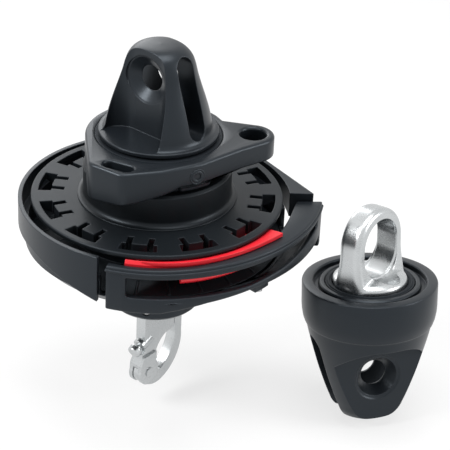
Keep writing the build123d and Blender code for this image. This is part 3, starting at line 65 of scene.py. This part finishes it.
class Finish:
    # the shader nodes of a material or of the world
    def __init__(self, owner):
        owner.use_nodes = True
        self.owner = owner
        self.tree = owner.node_tree
        self.tree.nodes.clear()

    def add(self, kind, settings=None, sockets=None, out=0):
        node = self.tree.nodes.new(kind)
        for key, value in (settings or {}).items():
            setattr(node, key, value)
        for key, value in (sockets or {}).items():
            if isinstance(value, Wire):
                self.tree.links.new(value.socket, node.inputs[key])
            else:
                node.inputs[key].default_value = value
        return Wire(self, node.outputs[out]) if len(node.outputs) else None

    def objectPlace(self):
        return self.add("ShaderNodeTexCoord", out="Object")

    def noise(self, place, scale, detail):
        return self.add("ShaderNodeTexNoise", {}, {
            "Vector": place, "Scale": scale, "Detail": detail, "Roughness": 0.55})

    def stretched(self, place, scale):
        return self.add("ShaderNodeMapping", {}, {"Vector": place, "Scale": scale})

    def clamp(self, value, low, high, toLow, toHigh):
        return self.add("ShaderNodeMapRange", {"clamp": True}, {
            "Value": value, "From Min": low, "From Max": high, "To Min": toLow, "To Max": toHigh})

    def mix(self, factor, first, second):
        return self.add("ShaderNodeMix", {"data_type": "RGBA"}, {0: factor, 6: first, 7: second}, out=2)

    def rounded(self, radius):
        return self.add("ShaderNodeBevel", {"samples": 6}, {"Radius": radius})

    def edges(self, soft):
        # 1 near a rounded edge, 0 on the open face
        plain = self.add("ShaderNodeNewGeometry", out="Normal")
        same = self.add("ShaderNodeVectorMath", {"operation": "DOT_PRODUCT"},
                        {0: plain, 1: soft}, out="Value")
        return self.clamp(same, 0.75, 0.999, 1.0, 0.0)

    def bump(self, strength, distance, height, normal):
        return self.add("ShaderNodeBump", {}, {
            "Strength": strength, "Distance": distance, "Height": height, "Normal": normal})

    def surface(self, sockets):
        shader = self.add("ShaderNodeBsdfPrincipled", {}, sockets)
        self.add("ShaderNodeOutputMaterial", {}, {"Surface": shader})
        return self.owner

    def backgroundRays(self):
        # 1 for rays that should see the white background
        camera, glossy, through = [self.add("ShaderNodeLightPath", out=ray) for ray in (
            "Is Camera Ray", "Is Glossy Ray", "Is Transmission Ray")]
        return camera + glossy + through


# finishes
# the second colour of each black finish is a painted edge highlight, mixed in along rounded edges
anodised = {"colour": (0.0075, 0.0095, 0.012, 1), "edgeHighlight": (0.030, 0.034, 0.040, 1), "roughness": 0.34,
            "cloudScale": 26, "grain": 1500, "bump": 0.08, "bumpDepth": 0.02 * mm, "edgeRadius": 0.7 * mm,
            "gloss": 0.36, "tint": (0.80, 0.90, 1.0, 1)}


def satinBlack(name, look):
    # hard anodised aluminium: fine blasted grain, a little lighter along its rounded edges, which is a painted
    # edge highlight
    finish = Finish(bpy.data.materials.new(name))
    place = finish.objectPlace()
    soft = finish.rounded(look["edgeRadius"])
    edge = finish.edges(soft)
    cloud = finish.noise(place, look["cloudScale"], 4)
    grain = finish.noise(place, look["grain"], 2)
    # painted edge highlight: the lighter colour along rounded edges, made patchy by the cloud noise
    paintedEdgeLight = finish.clamp(edge * (0.5 + cloud * 0.7), 0.15, 1.0, 0, 1)
    return finish.surface({
        "Metallic": 0.0, "IOR": 1.5, "Specular IOR Level": look["gloss"], "Specular Tint": look["tint"],
        "Base Color": finish.mix(paintedEdgeLight, look["colour"], look["edgeHighlight"]),
        "Roughness": look["roughness"] + (cloud - 0.5) * 0.10 + (grain - 0.5) * 0.06,
        "Normal": finish.bump(look["bump"], look["bumpDepth"], grain, soft)})


finishes = {}
finishes["black_anodised"] = satinBlack("blackAnodised", anodised)
# the hub's copy of the anodised finish is darker and less glossy: painted shade
finishes["black_hub"] = satinBlack("hubShadedBlack", {
    **anodised, "roughness": 0.38, "colour": (0.0035, 0.0045, 0.0055, 1), "gloss": 0.24})
finishes["black_sheave"] = satinBlack("blackSheave", {
    **anodised, "roughness": 0.44, "colour": (0.005, 0.0065, 0.008, 1), "gloss": 0.26})
finishes["black_composite"] = satinBlack("blackComposite", {
    **anodised, "roughness": 0.42, "grain": 900, "bump": 0.16, "edgeRadius": 0.9 * mm, "gloss": 0.34})
finishes["seal_rubber"] = satinBlack("sealRubber", {
    **anodised, "roughness": 0.6, "edgeHighlight": (0.02, 0.022, 0.025, 1), "gloss": 0.2})
finishes["bearing_plastic"] = satinBlack("bearingPlastic", {
    **anodised, "roughness": 0.5, "colour": (0.06, 0.06, 0.06, 1), "edgeHighlight": (0.09, 0.09, 0.09, 1)})


def redMoulding(name, look):
    # moulded plastic, paler where it is cloudy, and paler along its edges as a painted edge highlight
    finish = Finish(bpy.data.materials.new(name))
    place = finish.objectPlace()
    soft = finish.rounded(look["edgeRadius"])
    edge = finish.edges(soft)
    cloud = finish.noise(place, look["cloudScale"], 3)
    grain = finish.noise(place, look["grain"], 2)
    return finish.surface({
        # the cloud share is random pale tone; the edge share is a painted edge highlight
        "Metallic": 0.0, "Base Color": finish.mix(cloud * 0.6 + edge * 0.4, look["colour"], look["pale"]),
        "Roughness": look["roughness"] + (cloud - 0.5) * 0.1,
        "Normal": finish.bump(look["bump"], look["bumpDepth"], grain, soft)})


finishes["red_plastic"] = redMoulding("redMoulding", {
    "colour": (0.72, 0.010, 0.022, 1), "pale": (0.85, 0.022, 0.035, 1), "roughness": 0.36,
    "cloudScale": 45, "grain": 1100, "bump": 0.12, "bumpDepth": 0.02 * mm, "edgeRadius": 0.5 * mm})


def steelFinish(name, look):
    # stainless steel: faint drawn lines and cloudy polish
    finish = Finish(bpy.data.materials.new(name))
    place = finish.objectPlace()
    soft = finish.rounded(look["edgeRadius"])
    lines = finish.noise(finish.stretched(place, (1, 1, look["stretch"])), look["lines"], 3)
    cloud = finish.noise(place, look["cloudScale"], 4)
    return finish.surface({
        "Metallic": 1.0, "Base Color": finish.mix(cloud, look["colour"], look["pale"]),
        "Roughness": look["roughness"] + (cloud - 0.5) * 0.12 + (lines - 0.5) * 0.10,
        "Normal": finish.bump(look["bump"], look["bumpDepth"], lines, soft)})


polished = {"colour": (0.46, 0.48, 0.49, 1), "pale": (0.60, 0.615, 0.62, 1), "roughness": 0.27, "lines": 700,
            "stretch": 9, "cloudScale": 60, "bump": 0.15, "bumpDepth": 0.01 * mm, "edgeRadius": 0.5 * mm}
finishes["polished_steel"] = steelFinish("polishedSteel", polished)
finishes["steel"] = steelFinish("groundSteel", {
    **polished, "colour": (0.45, 0.45, 0.46, 1), "pale": (0.6, 0.6, 0.6, 1), "roughness": 0.32,
    "lines": 900, "bump": 0.3, "edgeRadius": 0.3 * mm})
slots = {row["node"]: row["material_slot"] for row in frame["record"]["subparts"]}
for nodeName, node in nodes.items():
    node.data.materials.clear()
    node.data.materials.append(finishes[slots[nodeName]])
print("finishes ready:", len(finishes))


# mesh helpers: corners are in mm, meshes in metres
def linked(name, mesh):
    piece = bpy.data.objects.new(name, mesh)
    bpy.context.scene.collection.objects.link(piece)
    return piece


def linkedShell(name, shell):
    mesh = bpy.data.meshes.new(name)
    shell.to_mesh(mesh)
    shell.free()
    return linked(name, mesh)


def solidFrom(name, corners, faces, place=Matrix()):
    # closed mesh, every face outwards
    shell = bmesh.new()
    knots = [shell.verts.new(place @ (Vector(corner) * mm)) for corner in corners]
    for face in faces:
        shell.faces.new([knots[i] for i in face])
    bmesh.ops.remove_doubles(shell, verts=shell.verts, dist=1e-7)
    bmesh.ops.recalc_face_normals(shell, faces=shell.faces)
    return linkedShell(name, shell)


def hexRadius(angle):
    # radius of a hexagon with its flats at distance 1
    return 1 / cos((angle + pi / 6) % (pi / 3) - pi / 6)


def turnedSolid(name, outline, place=Matrix(), steps=96, hexPoints=()):
    # closed outline of (radius, height) turned round the local Z axis; hexPoints follow a hexagon
    corners = []
    for i, (radius, height) in enumerate(outline):
        for k in range(steps):
            angle = 2 * pi * k / steps
            reach = radius * (hexRadius(angle) if i in hexPoints else 1)
            corners.append((reach * cos(angle), reach * sin(angle), height))
    faces = []
    for i in range(len(outline)):
        follow = (i + 1) % len(outline)
        for k in range(steps):
            after = (k + 1) % steps
            faces.append((i * steps + k, i * steps + after,
                          follow * steps + after, follow * steps + k))
    return solidFrom(name, corners, faces, place)


def loftedSolid(name, rings, place=Matrix()):
    # rings of equally many corners, joined one to the next and closed at both ends
    count = len(rings[0])
    corners = [corner for ring in rings for corner in ring]
    faces = [tuple(range(count)), tuple(range((len(rings) - 1) * count, len(rings) * count))]
    for i in range(len(rings) - 1):
        for k in range(count):
            after = (k + 1) % count
            faces.append((i * count + k, i * count + after,
                          (i + 1) * count + after, (i + 1) * count + k))
    return solidFrom(name, corners, faces, place)


def changed(piece, kind, **settings):
    modifier = piece.modifiers.new(kind.lower(), kind)
    for key, value in settings.items():
        setattr(modifier, key, value)


def settled(piece, smoothAngle=32):
    # applies the modifiers and shades the result smooth up to an angle
    bpy.context.view_layer.update()
    seen = bpy.context.evaluated_depsgraph_get()
    mesh = bpy.data.meshes.new_from_object(piece.evaluated_get(seen), depsgraph=seen)
    piece.modifiers.clear()
    piece.data = mesh
    mesh.name = piece.name
    mesh.shade_smooth()
    mesh.set_sharp_from_angle(angle=radians(smoothAngle))
    return piece


def dressed(piece, body, slotName):
    piece.data.materials.clear()
    piece.data.materials.append(finishes[slotName])
    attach(piece, body)
    return piece


def carved(piece, cutters, smoothAngle):
    # cuts each cutter out of the piece and takes the cutters away
    for cutter in cutters:
        changed(piece, "BOOLEAN", operation="DIFFERENCE", solver="EXACT", object=cutter)
    settled(piece, smoothAngle)
    for cutter in cutters:
        bpy.data.objects.remove(cutter)
    return piece


def polar(radius, degreesRound):
    return Vector((radius * cos(radians(degreesRound)), radius * sin(radians(degreesRound)), 0))


# head swivel: its own frame leans a little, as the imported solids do
swivelPlace = {"corner": (105.35, 0, 56.28), "lean": 6.87, "sideLean": -2.33}


def leaningFrame(look):
    lean, side = radians(look["lean"]), radians(look["sideLean"])
    upright = Vector((sin(side), sin(lean) * cos(side), cos(lean) * cos(side)))
    right = (Vector((1, 0, 0)) - upright * upright.x).normalized()
    place = Matrix((right, upright.cross(right), upright)).transposed().to_4x4()
    place.translation = Vector(look["corner"]) * mm
    return place


swivelFrame = leaningFrame(swivelPlace)

# eye of the head swivel: cast ring that grows out of a round boss, with machined side faces
eyeLook = {"azimuth": -43, "halfWidth": 18.3, "topHalfWidth": 17.9, "archHeight": 20.3, "halfThickness": 6.2,
           "edgeRound": 2.8, "holeRadius": 12.4, "holeHeight": 17.8, "holeRise": 2.4, "rimChamfer": 0.7,
           "footHeight": 16.0, "footSpread": 0.5, "depth": -5.0, "smoothing": 14, "cutReach": 22,
           "boss": [(0, -6.0), (18.5, -6.0), (18.5, 0.6), (18.0, 1.9), (16.0, 3.0), (12.0, 4.4),
                    (0, 4.4)],
           "stem": [(0, -23.3), (7.9, -23.3), (7.9, -5.0), (0, -5.0)], "voxel": 0.42}


def eyeArch(look, steps=48):
    # side view of the ring: upright flanks under a half circle
    arch = [(-look["halfWidth"], look["depth"])]
    for k in range(steps + 1):
        angle = pi - pi * k / steps
        arch.append((look["topHalfWidth"] * cos(angle),
                     look["archHeight"] + look["topHalfWidth"] * sin(angle)))
    arch.append((look["halfWidth"], look["depth"]))
    return arch


def eyeHoleCutter(look, place, steps=64):
    # an upright oblong hole, wider at both faces by the chamfer
    half, chamfer, reach = look["halfThickness"], look["rimChamfer"], look["cutReach"]
    sections = []
    for y, grow in ((-reach, 1), (-half - 0.1, 1), (-half + chamfer, 0),
                    (half - chamfer, 0), (half + 0.1, 1), (reach, 1)):
        radius = look["holeRadius"] + grow * chamfer
        section = []
        for k in range(steps):
            angle = 2 * pi * (k + 0.5) / steps
            rise = look["holeRise"] if sin(angle) > 0 else -look["holeRise"]
            section.append((radius * cos(angle), y, look["holeHeight"] + rise + radius * sin(angle)))
        sections.append(section)
    return loftedSolid("cutter", sections, place)


def castEye(look):
    place = swivelFrame @ Matrix.Rotation(radians(look["azimuth"] + 90), 4, "Z")
    half = look["halfThickness"]
    ring = loftedSolid("swivelEye", [[(x, y, z) for x, z in eyeArch(look)] for y in (-half, half)], place)
    changed(ring, "BEVEL", width=look["edgeRound"] * mm, segments=6, limit_method="ANGLE",
            angle_limit=radians(50))
    changed(ring, "REMESH", mode="VOXEL", voxel_size=look["voxel"] * mm)
    settled(ring)
    # the ring gets thicker towards its foot
    local = place.inverted()
    for vertex in ring.data.vertices:
        corner = local @ vertex.co
        share = min(max(1 - corner.z / (look["footHeight"] * mm), 0), 1)
        corner.y *= 1 + look["footSpread"] * share ** 1.6
        vertex.co = place @ corner
    boss = turnedSolid("boss", look["boss"], swivelFrame)
    stem = turnedSolid("stem", look["stem"], swivelFrame)
    joint = bmesh.new()
    for part in (ring, boss, stem):
        joint.from_mesh(part.data)
    joint.to_mesh(ring.data)
    joint.free()
    for part in (boss, stem):
        bpy.data.objects.remove(part)
    changed(ring, "REMESH", mode="VOXEL", voxel_size=look["voxel"] * mm)
    changed(ring, "SMOOTH", factor=0.5, iterations=look["smoothing"])
    settled(ring)
    return carved(ring, [eyeHoleCutter(look, place)], 28)


swivelEye = dressed(castEye(eyeLook), "swivel", "polished_steel")
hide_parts("swivel_eye")
print("eye cast:", len(swivelEye.data.polygons), "faces")

# raised lip on the head swivel's seal
sealLip = {"outline": [(19.5, -0.95), (19.7, -0.45), (20.3, -0.2), (20.9, -0.45), (21.1, -0.95)]}
dressed(settled(turnedSolid("swivelSealLip", sealLip["outline"], swivelFrame)), "root", "seal_rubber")

# socket screw in the front face of the tack plate
faceScrew = {"place": (18.25, -31.33, 127.2), "azimuth": -63.4, "hexPoints": (0, 1),
             "outline": [(1.45, -0.6), (1.45, 0.30), (1.95, 0.52), (2.75, 0.46), (2.95, 0.1), (3.25, 0.1),
                         (3.45, 0.34), (3.85, 0.22), (3.95, -0.6)],
             "socketFloor": [(0, -0.9), (1.7, -0.9), (1.7, -0.35), (0, -0.35)]}


def facing(corner, azimuth):
    # frame whose Z axis points outwards at this azimuth
    out = polar(1, azimuth)
    side = Vector((0, 0, 1)).cross(out)
    place = Matrix((side, Vector((0, 0, 1)), out)).transposed().to_4x4()
    place.translation = Vector(corner) * mm
    return place


screwFrame = facing(faceScrew["place"], faceScrew["azimuth"])
dressed(settled(turnedSolid("plateScrew", faceScrew["outline"], screwFrame, 72, faceScrew["hexPoints"])),
        "tack", "black_anodised")
# the socket floor takes the darker hub finish: painted shade in the socket
dressed(settled(turnedSolid("plateScrewSocket", faceScrew["socketFloor"], screwFrame, 24)),
        "tack", "black_hub")
print("swivel lip and plate screw made")


class PatternTree:
    # geometry nodes with named inputs, for pieces that repeat or follow a path
    def __init__(self, name, inputs):
        self.tree = bpy.data.node_groups.new(name, "GeometryNodeTree")
        face = self.tree.interface
        face.new_socket("Geometry", in_out="INPUT", socket_type="NodeSocketGeometry")
        self.keys = {key: face.new_socket(key, in_out="INPUT", socket_type="NodeSocket" + kind).identifier
                     for key, kind in inputs.items()}
        face.new_socket("Geometry", in_out="OUTPUT", socket_type="NodeSocketGeometry")
        self.given = self.tree.nodes.new("NodeGroupInput").outputs

    def add(self, kind, values, **settings):
        node = self.tree.nodes.new(kind)
        for key, value in settings.items():
            setattr(node, key, value)
        for key, value in values.items():
            if isinstance(value, bpy.types.NodeSocket):
                self.tree.links.new(value, node.inputs[key])
            else:
                node.inputs[key].default_value = value
        return node.outputs[0]

    def closed(self, geometry):
        plain = self.add("GeometryNodeRealizeInstances", {"Geometry": geometry})
        coated = self.add("GeometryNodeSetMaterial", {"Geometry": plain, "Material": self.given["Material"]})
        self.tree.links.new(coated, self.tree.nodes.new("NodeGroupOutput").inputs["Geometry"])

    def grown(self, name, corners, values):
        # runs the tree on a chain of corners and keeps the result as a plain mesh
        mesh = bpy.data.meshes.new(name)
        mesh.from_pydata([Vector(corner) * mm for corner in corners],
                         [(i, i + 1) for i in range(len(corners) - 1)], [])
        piece = linked(name, mesh)
        modifier = piece.modifiers.new("pattern", "NODES")
        modifier.node_group = self.tree
        for key, value in values.items():
            modifier[self.keys[key]] = value
        settled(piece, 40)
        shell = bmesh.new()
        shell.from_mesh(piece.data)
        bmesh.ops.recalc_face_normals(shell, faces=shell.faces)
        shell.to_mesh(piece.data)
        shell.free()
        return piece


# grip ribs on both cheeks of the sheave's groove, low enough to pass the stripper
gripRibs = {
    "upperGripRibs": {"count": 12, "inner": (45.0, 93.03), "outer": (58.8, 98.78), "sink": 0.55,
                      "radius": 0.9, "firstAzimuth": 6.5},
    "lowerGripRibs": {"count": 24, "inner": (45.0, 85.07), "outer": (58.8, 80.22), "sink": -0.55,
                      "radius": 0.9, "firstAzimuth": 6.5},
}


def makeRibTree():
    plan = PatternTree("gripRibs", {
        "Count": "Int", "Inner Radius": "Float", "Inner Height": "Float", "Outer Radius": "Float",
        "Outer Height": "Float", "Rib Radius": "Float", "Turn": "Float", "Material": "Material"})
    given = plan.given
    start = plan.add("ShaderNodeCombineXYZ", {"X": given["Inner Radius"], "Z": given["Inner Height"]})
    end = plan.add("ShaderNodeCombineXYZ", {"X": given["Outer Radius"], "Z": given["Outer Height"]})
    line = plan.add("GeometryNodeCurvePrimitiveLine", {"Start": start, "End": end})
    ring = plan.add("GeometryNodeCurvePrimitiveCircle", {"Resolution": 12, "Radius": given["Rib Radius"]})
    rib = plan.add("GeometryNodeCurveToMesh", {"Curve": line, "Profile Curve": ring, "Fill Caps": True})
    points = plan.add("GeometryNodePoints", {"Count": given["Count"]})
    number = plan.add("GeometryNodeInputIndex", {})
    step = plan.add("ShaderNodeMath", {0: 2 * pi, 1: given["Count"]}, operation="DIVIDE")
    angle = plan.add("ShaderNodeMath", {0: number, 1: step, 2: given["Turn"]}, operation="MULTIPLY_ADD")
    turn = plan.add("ShaderNodeCombineXYZ", {"Z": angle})
    plan.closed(plan.add("GeometryNodeInstanceOnPoints", {"Points": points, "Instance": rib, "Rotation": turn}))
    return plan


ribTree = makeRibTree()
for name, look in gripRibs.items():
    (innerRadius, innerHeight), (outerRadius, outerHeight) = look["inner"], look["outer"]
    ribs = ribTree.grown(name, [(0, 0, 0)], {
        "Count": look["count"], "Rib Radius": look["radius"] * mm, "Turn": radians(look["firstAzimuth"]),
        "Inner Radius": innerRadius * mm, "Inner Height": (innerHeight + look["sink"]) * mm,
        "Outer Radius": outerRadius * mm, "Outer Height": (outerHeight + look["sink"]) * mm,
        "Material": finishes["black_sheave"]})
    dressed(ribs, "drum", "black_sheave")
print("grip ribs grown:", len(gripRibs))

# half-round bead that follows the guide's outer wall
guideBead = {"nearCentre": (0, 0), "nearRadius": 65.5, "nearSpan": (-110, -81), "farCentre": (-3.21, 18.22),
             "farRadius": 84.0, "farSpan": (-80, -10), "height": 94.6, "radius": 0.75, "step": 1.0}


def makeBeadTree():
    plan = PatternTree("railBead", {"Radius": "Float", "Material": "Material"})
    path = plan.add("GeometryNodeMeshToCurve", {"Mesh": plan.given["Geometry"]})
    ring = plan.add("GeometryNodeCurvePrimitiveCircle", {"Resolution": 14, "Radius": plan.given["Radius"]})
    plan.closed(plan.add("GeometryNodeCurveToMesh", {"Curve": path, "Profile Curve": ring, "Fill Caps": True}))
    return plan


def guideRail(look):
    # corners along both arcs of the wall, a degree apart
    corners = []
    for part in ("near", "far"):
        (x, y), radius, (first, last) = look[part + "Centre"], look[part + "Radius"], look[part + "Span"]
        count = int((last - first) / look["step"])
        for k in range(count + 1):
            angle = radians(first + (last - first) * k / count)
            corners.append((x + radius * cos(angle), y + radius * sin(angle), look["height"]))
    return corners


bead = makeBeadTree().grown("guideBead", guideRail(guideBead), {
    "Radius": guideBead["radius"] * mm, "Material": finishes["black_composite"]})
dressed(bead, "root", "black_composite")
print("guide bead laid")

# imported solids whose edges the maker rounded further
roundedNodes = {"line_guide": {"name": "lineGuideRounded", "body": "root", "width": 0.8},
                "tack_plate": {"name": "tackPlateRounded", "body": "tack", "width": 0.9}}


def softened(nodeName, look):
    # a merged copy of the solid, flat faces joined, with its sharp edges bevelled
    shell = bmesh.new()
    shell.from_mesh(nodes[nodeName].data)
    bmesh.ops.remove_doubles(shell, verts=shell.verts, dist=2e-6)
    bmesh.ops.dissolve_limit(shell, angle_limit=radians(1.5), verts=shell.verts, edges=shell.edges)
    piece = linkedShell(look["name"], shell)
    changed(piece, "BEVEL", width=look["width"] * mm, segments=3, limit_method="ANGLE",
            angle_limit=radians(38), use_clamp_overlap=False)
    return settled(piece, 30)


for nodeName, look in roundedNodes.items():
    piece = dressed(softened(nodeName, look), look["body"], slots[nodeName])
    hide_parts(nodeName)
    print("rounded", nodeName, len(piece.data.polygons))


# fork of the torsion line: turned body, two flats with a level floor, slot and flared cross bore
def smoothedOutline(points, steps=6):
    # a smooth line through the points
    line = []
    for i in range(len(points) - 1):
        before = points[max(i - 1, 0)]
        start, end = points[i], points[i + 1]
        after = points[min(i + 2, len(points) - 1)]
        for k in range(steps):
            t = k / steps
            line.append(tuple(
                0.5 * (2 * b + (c - a) * t + (2 * a - 5 * b + 4 * c - d) * t * t
                       + (3 * b - a - 3 * c + d) * t ** 3)
                for a, b, c, d in zip(before, start, end, after)))
    line.append(points[-1])
    return line


forkLook = {"foot": [(0, 129.5), (23.0, 129.5), (23.0, 134.0), (28.0, 134.0), (28.3, 134.3), (28.3, 135.8)],
            "flank": [(28.0, 136.1), (26.4, 136.5), (25.2, 138.2), (24.4, 142.0), (22.9, 148.0), (21.1, 154.0),
                      (19.3, 159.5), (17.6, 165.0), (16.2, 170.4), (14.6, 174.2), (12.0, 176.9),
                      (8.0, 178.4), (0, 178.9)],
            "slotAzimuth": -41.6, "slotHalf": 5.25, "slotBottom": 138.0, "slotTop": 176.1,
            "flat": 9.2, "flatHalf": 17.0, "flatCorner": 9.5, "floor": 136.1, "reach": 60, "above": 200,
            "boreHeight": 163.5, "boreRadius": 6.2, "flareRadius": 12.2, "flareDepth": 3.8, "lip": 1.0}


def turnedAbout(look, side=0):
    # the frame whose X axis runs along the slot
    return Matrix.Rotation(radians(look["slotAzimuth"] + side), 4, "Z")


def flatCutter(look, side):
    # cuts a flat down to a level floor, with round corners in plan
    half, corner, wall = look["flatHalf"], look["flatCorner"], look["flat"]
    plan = [(-half, look["reach"])]
    for k in range(17):
        angle = pi + pi / 2 * k / 16
        plan.append((-half + corner + corner * cos(angle), wall + corner + corner * sin(angle)))
    plan += [(-x, y) for x, y in reversed(plan)]
    return loftedSolid("flatCutter", [[(x, y, z) for x, y in plan] for z in (look["floor"], look["above"])],
                       turnedAbout(look, side))


def slotCutter(look, place=Matrix()):
    half = look["slotHalf"]
    outline = []
    for k in range(48):
        angle = 2 * pi * (k + 0.5) / 48
        height = look["slotTop"] - half if sin(angle) > 0 else look["slotBottom"] + half
        outline.append((half * cos(angle), height + half * sin(angle)))
    return loftedSolid("slotCutter", [[(x, y, z) for y, z in outline] for x in (-40, 40)],
                       place @ turnedAbout(look))


def boreCutter(look, place=Matrix()):
    # a cone at each end that rolls over into the flat
    across = Matrix.Translation((0, 0, look["boreHeight"] * mm)) @ Matrix.Rotation(radians(-90), 4, "X")
    wall, lip, roll, end = look["flat"], look["lip"], radians(50), 25
    wing = [(look["boreRadius"], wall - look["flareDepth"])]
    for k in range(7):
        angle = roll * k / 6
        wing.append((look["flareRadius"] - lip * (1 - sin(angle)), wall - lip * (cos(angle) - cos(roll))))
    wing.append((look["flareRadius"] + 0.2, end))
    outline = [(0, -end)] + [(radius, -height) for radius, height in reversed(wing)] + wing + [(0, end)]
    return turnedSolid("boreCutter", outline, place @ turnedAbout(look) @ across, 72)


def turnedFork(look):
    fork = turnedSolid("torsionFork", look["foot"] + smoothedOutline(look["flank"]), steps=144)
    return carved(fork, [flatCutter(look, 0), flatCutter(look, 180), slotCutter(look), boreCutter(look)], 30)


torsionFork = dressed(turnedFork(forkLook), "drum", "black_anodised")
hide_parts("torsion_fork")
print("fork turned:", len(torsionFork.data.polygons), "faces")

# body of the head swivel: soft band, cone, two rounded pockets, open slot and flared cross bore
swivelLook = {"band": [(0, -23.6), (25.2, -23.6), (25.2, -3.0), (27.8, -3.0), (27.8, -0.6), (28.4, 0),
                       (32.4, 0), (33.1, -0.3), (33.4, -1.0), (33.4, -12.0), (33.2, -15.0), (32.7, -18.0),
                       (31.9, -20.4), (31.3, -20.8)],
              "flank": [(31.2, -21.0), (29.6, -28.0), (27.5, -36.0), (25.0, -45.0), (22.8, -52.0), (20.6, -58.5),
                        (18.9, -63.0), (17.2, -67.0), (14.4, -69.9), (8.0, -70.5), (0, -70.5)],
              "slotAzimuth": 17.0, "slotHalf": 6.3, "slotTop": -26.2, "slotBottom": -120.0,
              "flat": 13.6, "pocketTop": -26.2, "pocketHalf": 25.0, "pocketCorner": 20.0, "reach": 60,
              "boreHeight": -47.5, "boreRadius": 6.6, "flareRadius": 12.6, "flareDepth": 6.2, "lip": 2.2}


def pocketCutter(look, side, place):
    # cuts a flat that is open at the foot, with round upper corners
    half, corner, top = look["pocketHalf"], look["pocketCorner"], look["pocketTop"]
    outline = [(half, look["slotBottom"])]
    for k in range(17):
        angle = pi / 2 * k / 16
        outline.append((half - corner + corner * cos(angle), top - corner + corner * sin(angle)))
    outline += [(-x, z) for x, z in reversed(outline)]
    return loftedSolid("pocketCutter", [[(x, y, z) for x, z in outline] for y in (look["flat"], look["reach"])],
                       place @ turnedAbout(look, side))


def turnedSwivel(look, place):
    body = turnedSolid("swivelBody", look["band"] + smoothedOutline(look["flank"]), place, 144)
    return carved(body, [pocketCutter(look, 0, place), pocketCutter(look, 180, place),
                         slotCutter(look, place), boreCutter(look, place)], 30)


swivelBody = dressed(turnedSwivel(swivelLook, swivelFrame), "root", slots["swivel_fork"])
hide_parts("swivel_fork")
print("head swivel turned:", len(swivelBody.data.polygons), "faces")

# stage, lamps and camera
stage = {"floorHeight": -18 * mm, "floorSize": 6.0, "floorColour": (0.93, 0.93, 0.93, 1), "whiteShare": 0.72,
         "white": (1, 1, 1, 1), "worldLight": 0.22}


def makeFloor(look):
    half, height = look["floorSize"] / 2, look["floorHeight"]
    mesh = bpy.data.meshes.new("floor")
    mesh.from_pydata([(-half, -half, height), (half, -half, height), (half, half, height),
                      (-half, half, height)], [], [(0, 1, 2, 3)])
    floor = linked("floor", mesh)
    finish = Finish(bpy.data.materials.new("paleFloor"))
    share = finish.backgroundRays() * look["whiteShare"]
    plain = finish.add("ShaderNodeBsdfDiffuse", {}, {"Color": look["floorColour"]})
    glow = finish.add("ShaderNodeEmission", {}, {"Color": look["white"], "Strength": 1.0})
    both = finish.add("ShaderNodeMixShader", {}, {0: share, 1: plain, 2: glow})
    finish.add("ShaderNodeOutputMaterial", {}, {"Surface": both})
    mesh.materials.append(finish.owner)


def makeWorld(look):
    world = bpy.data.worlds.new("studio")
    bpy.context.scene.world = world
    sky = Finish(world)
    pale = sky.add("ShaderNodeBackground", {}, {"Color": look["white"], "Strength": look["worldLight"]})
    white = sky.add("ShaderNodeBackground", {}, {"Color": look["white"], "Strength": 1.0})
    both = sky.add("ShaderNodeMixShader", {}, {0: sky.backgroundRays(), 1: pale, 2: white})
    sky.add("ShaderNodeOutputWorld", {}, {"Surface": both})


makeFloor(stage)
makeWorld(stage)

lamps = {
    "keyPanel": {"place": (-0.85, -0.35, 0.85), "size": 0.45, "power": 11.5},
    "sidePanel": {"place": (0.95, -0.25, 0.45), "size": 0.4, "power": 4.5},
    "topPanel": {"place": (0.1, -0.1, 1.2), "size": 0.7, "power": 8.5},
    "backPanel": {"place": (-0.3, 1.0, 0.6), "size": 0.6, "power": 3.0},
}
lampAim = Vector((0.04, 0, 0.09))


def turnedTo(place, target, roll=0.0):
    # frame at a place that looks at the target along its own -Z axis
    back = (place - target).normalized()
    level = Vector((0, 0, 1)).cross(back).normalized()
    upright = back.cross(level)
    right = level * cos(roll) + upright * sin(roll)
    turned = Matrix((right, back.cross(right), back)).transposed().to_4x4()
    turned.translation = place
    return turned


for name, lamp in lamps.items():
    data = bpy.data.lights.new(name, "AREA")
    data.shape = "SQUARE"
    data.size = lamp["size"]
    data.energy = lamp["power"]
    light = linked(name, data)
    light.matrix_world = turnedTo(Vector(lamp["place"]), lampAim)

view = {"place": (0, -0.7902, 0.5323), "aim": (0.03307, 0, 0.08459), "roll": radians(2.68),
        "sensor": 36, "lens": 151.0, "clipStart": 0.05}
cameraData = bpy.data.cameras.new("camera")
cameraData.sensor_width = view["sensor"]
cameraData.lens = view["lens"]
cameraData.clip_start = view["clipStart"]
camera = linked("camera", cameraData)
camera.matrix_world = turnedTo(Vector(view["place"]), Vector(view["aim"]), view["roll"])
bpy.context.scene.camera = camera
bpy.context.scene.view_settings.view_transform = "Standard"
print("stage, lamps and camera set")

bpy.context.view_layer.update()
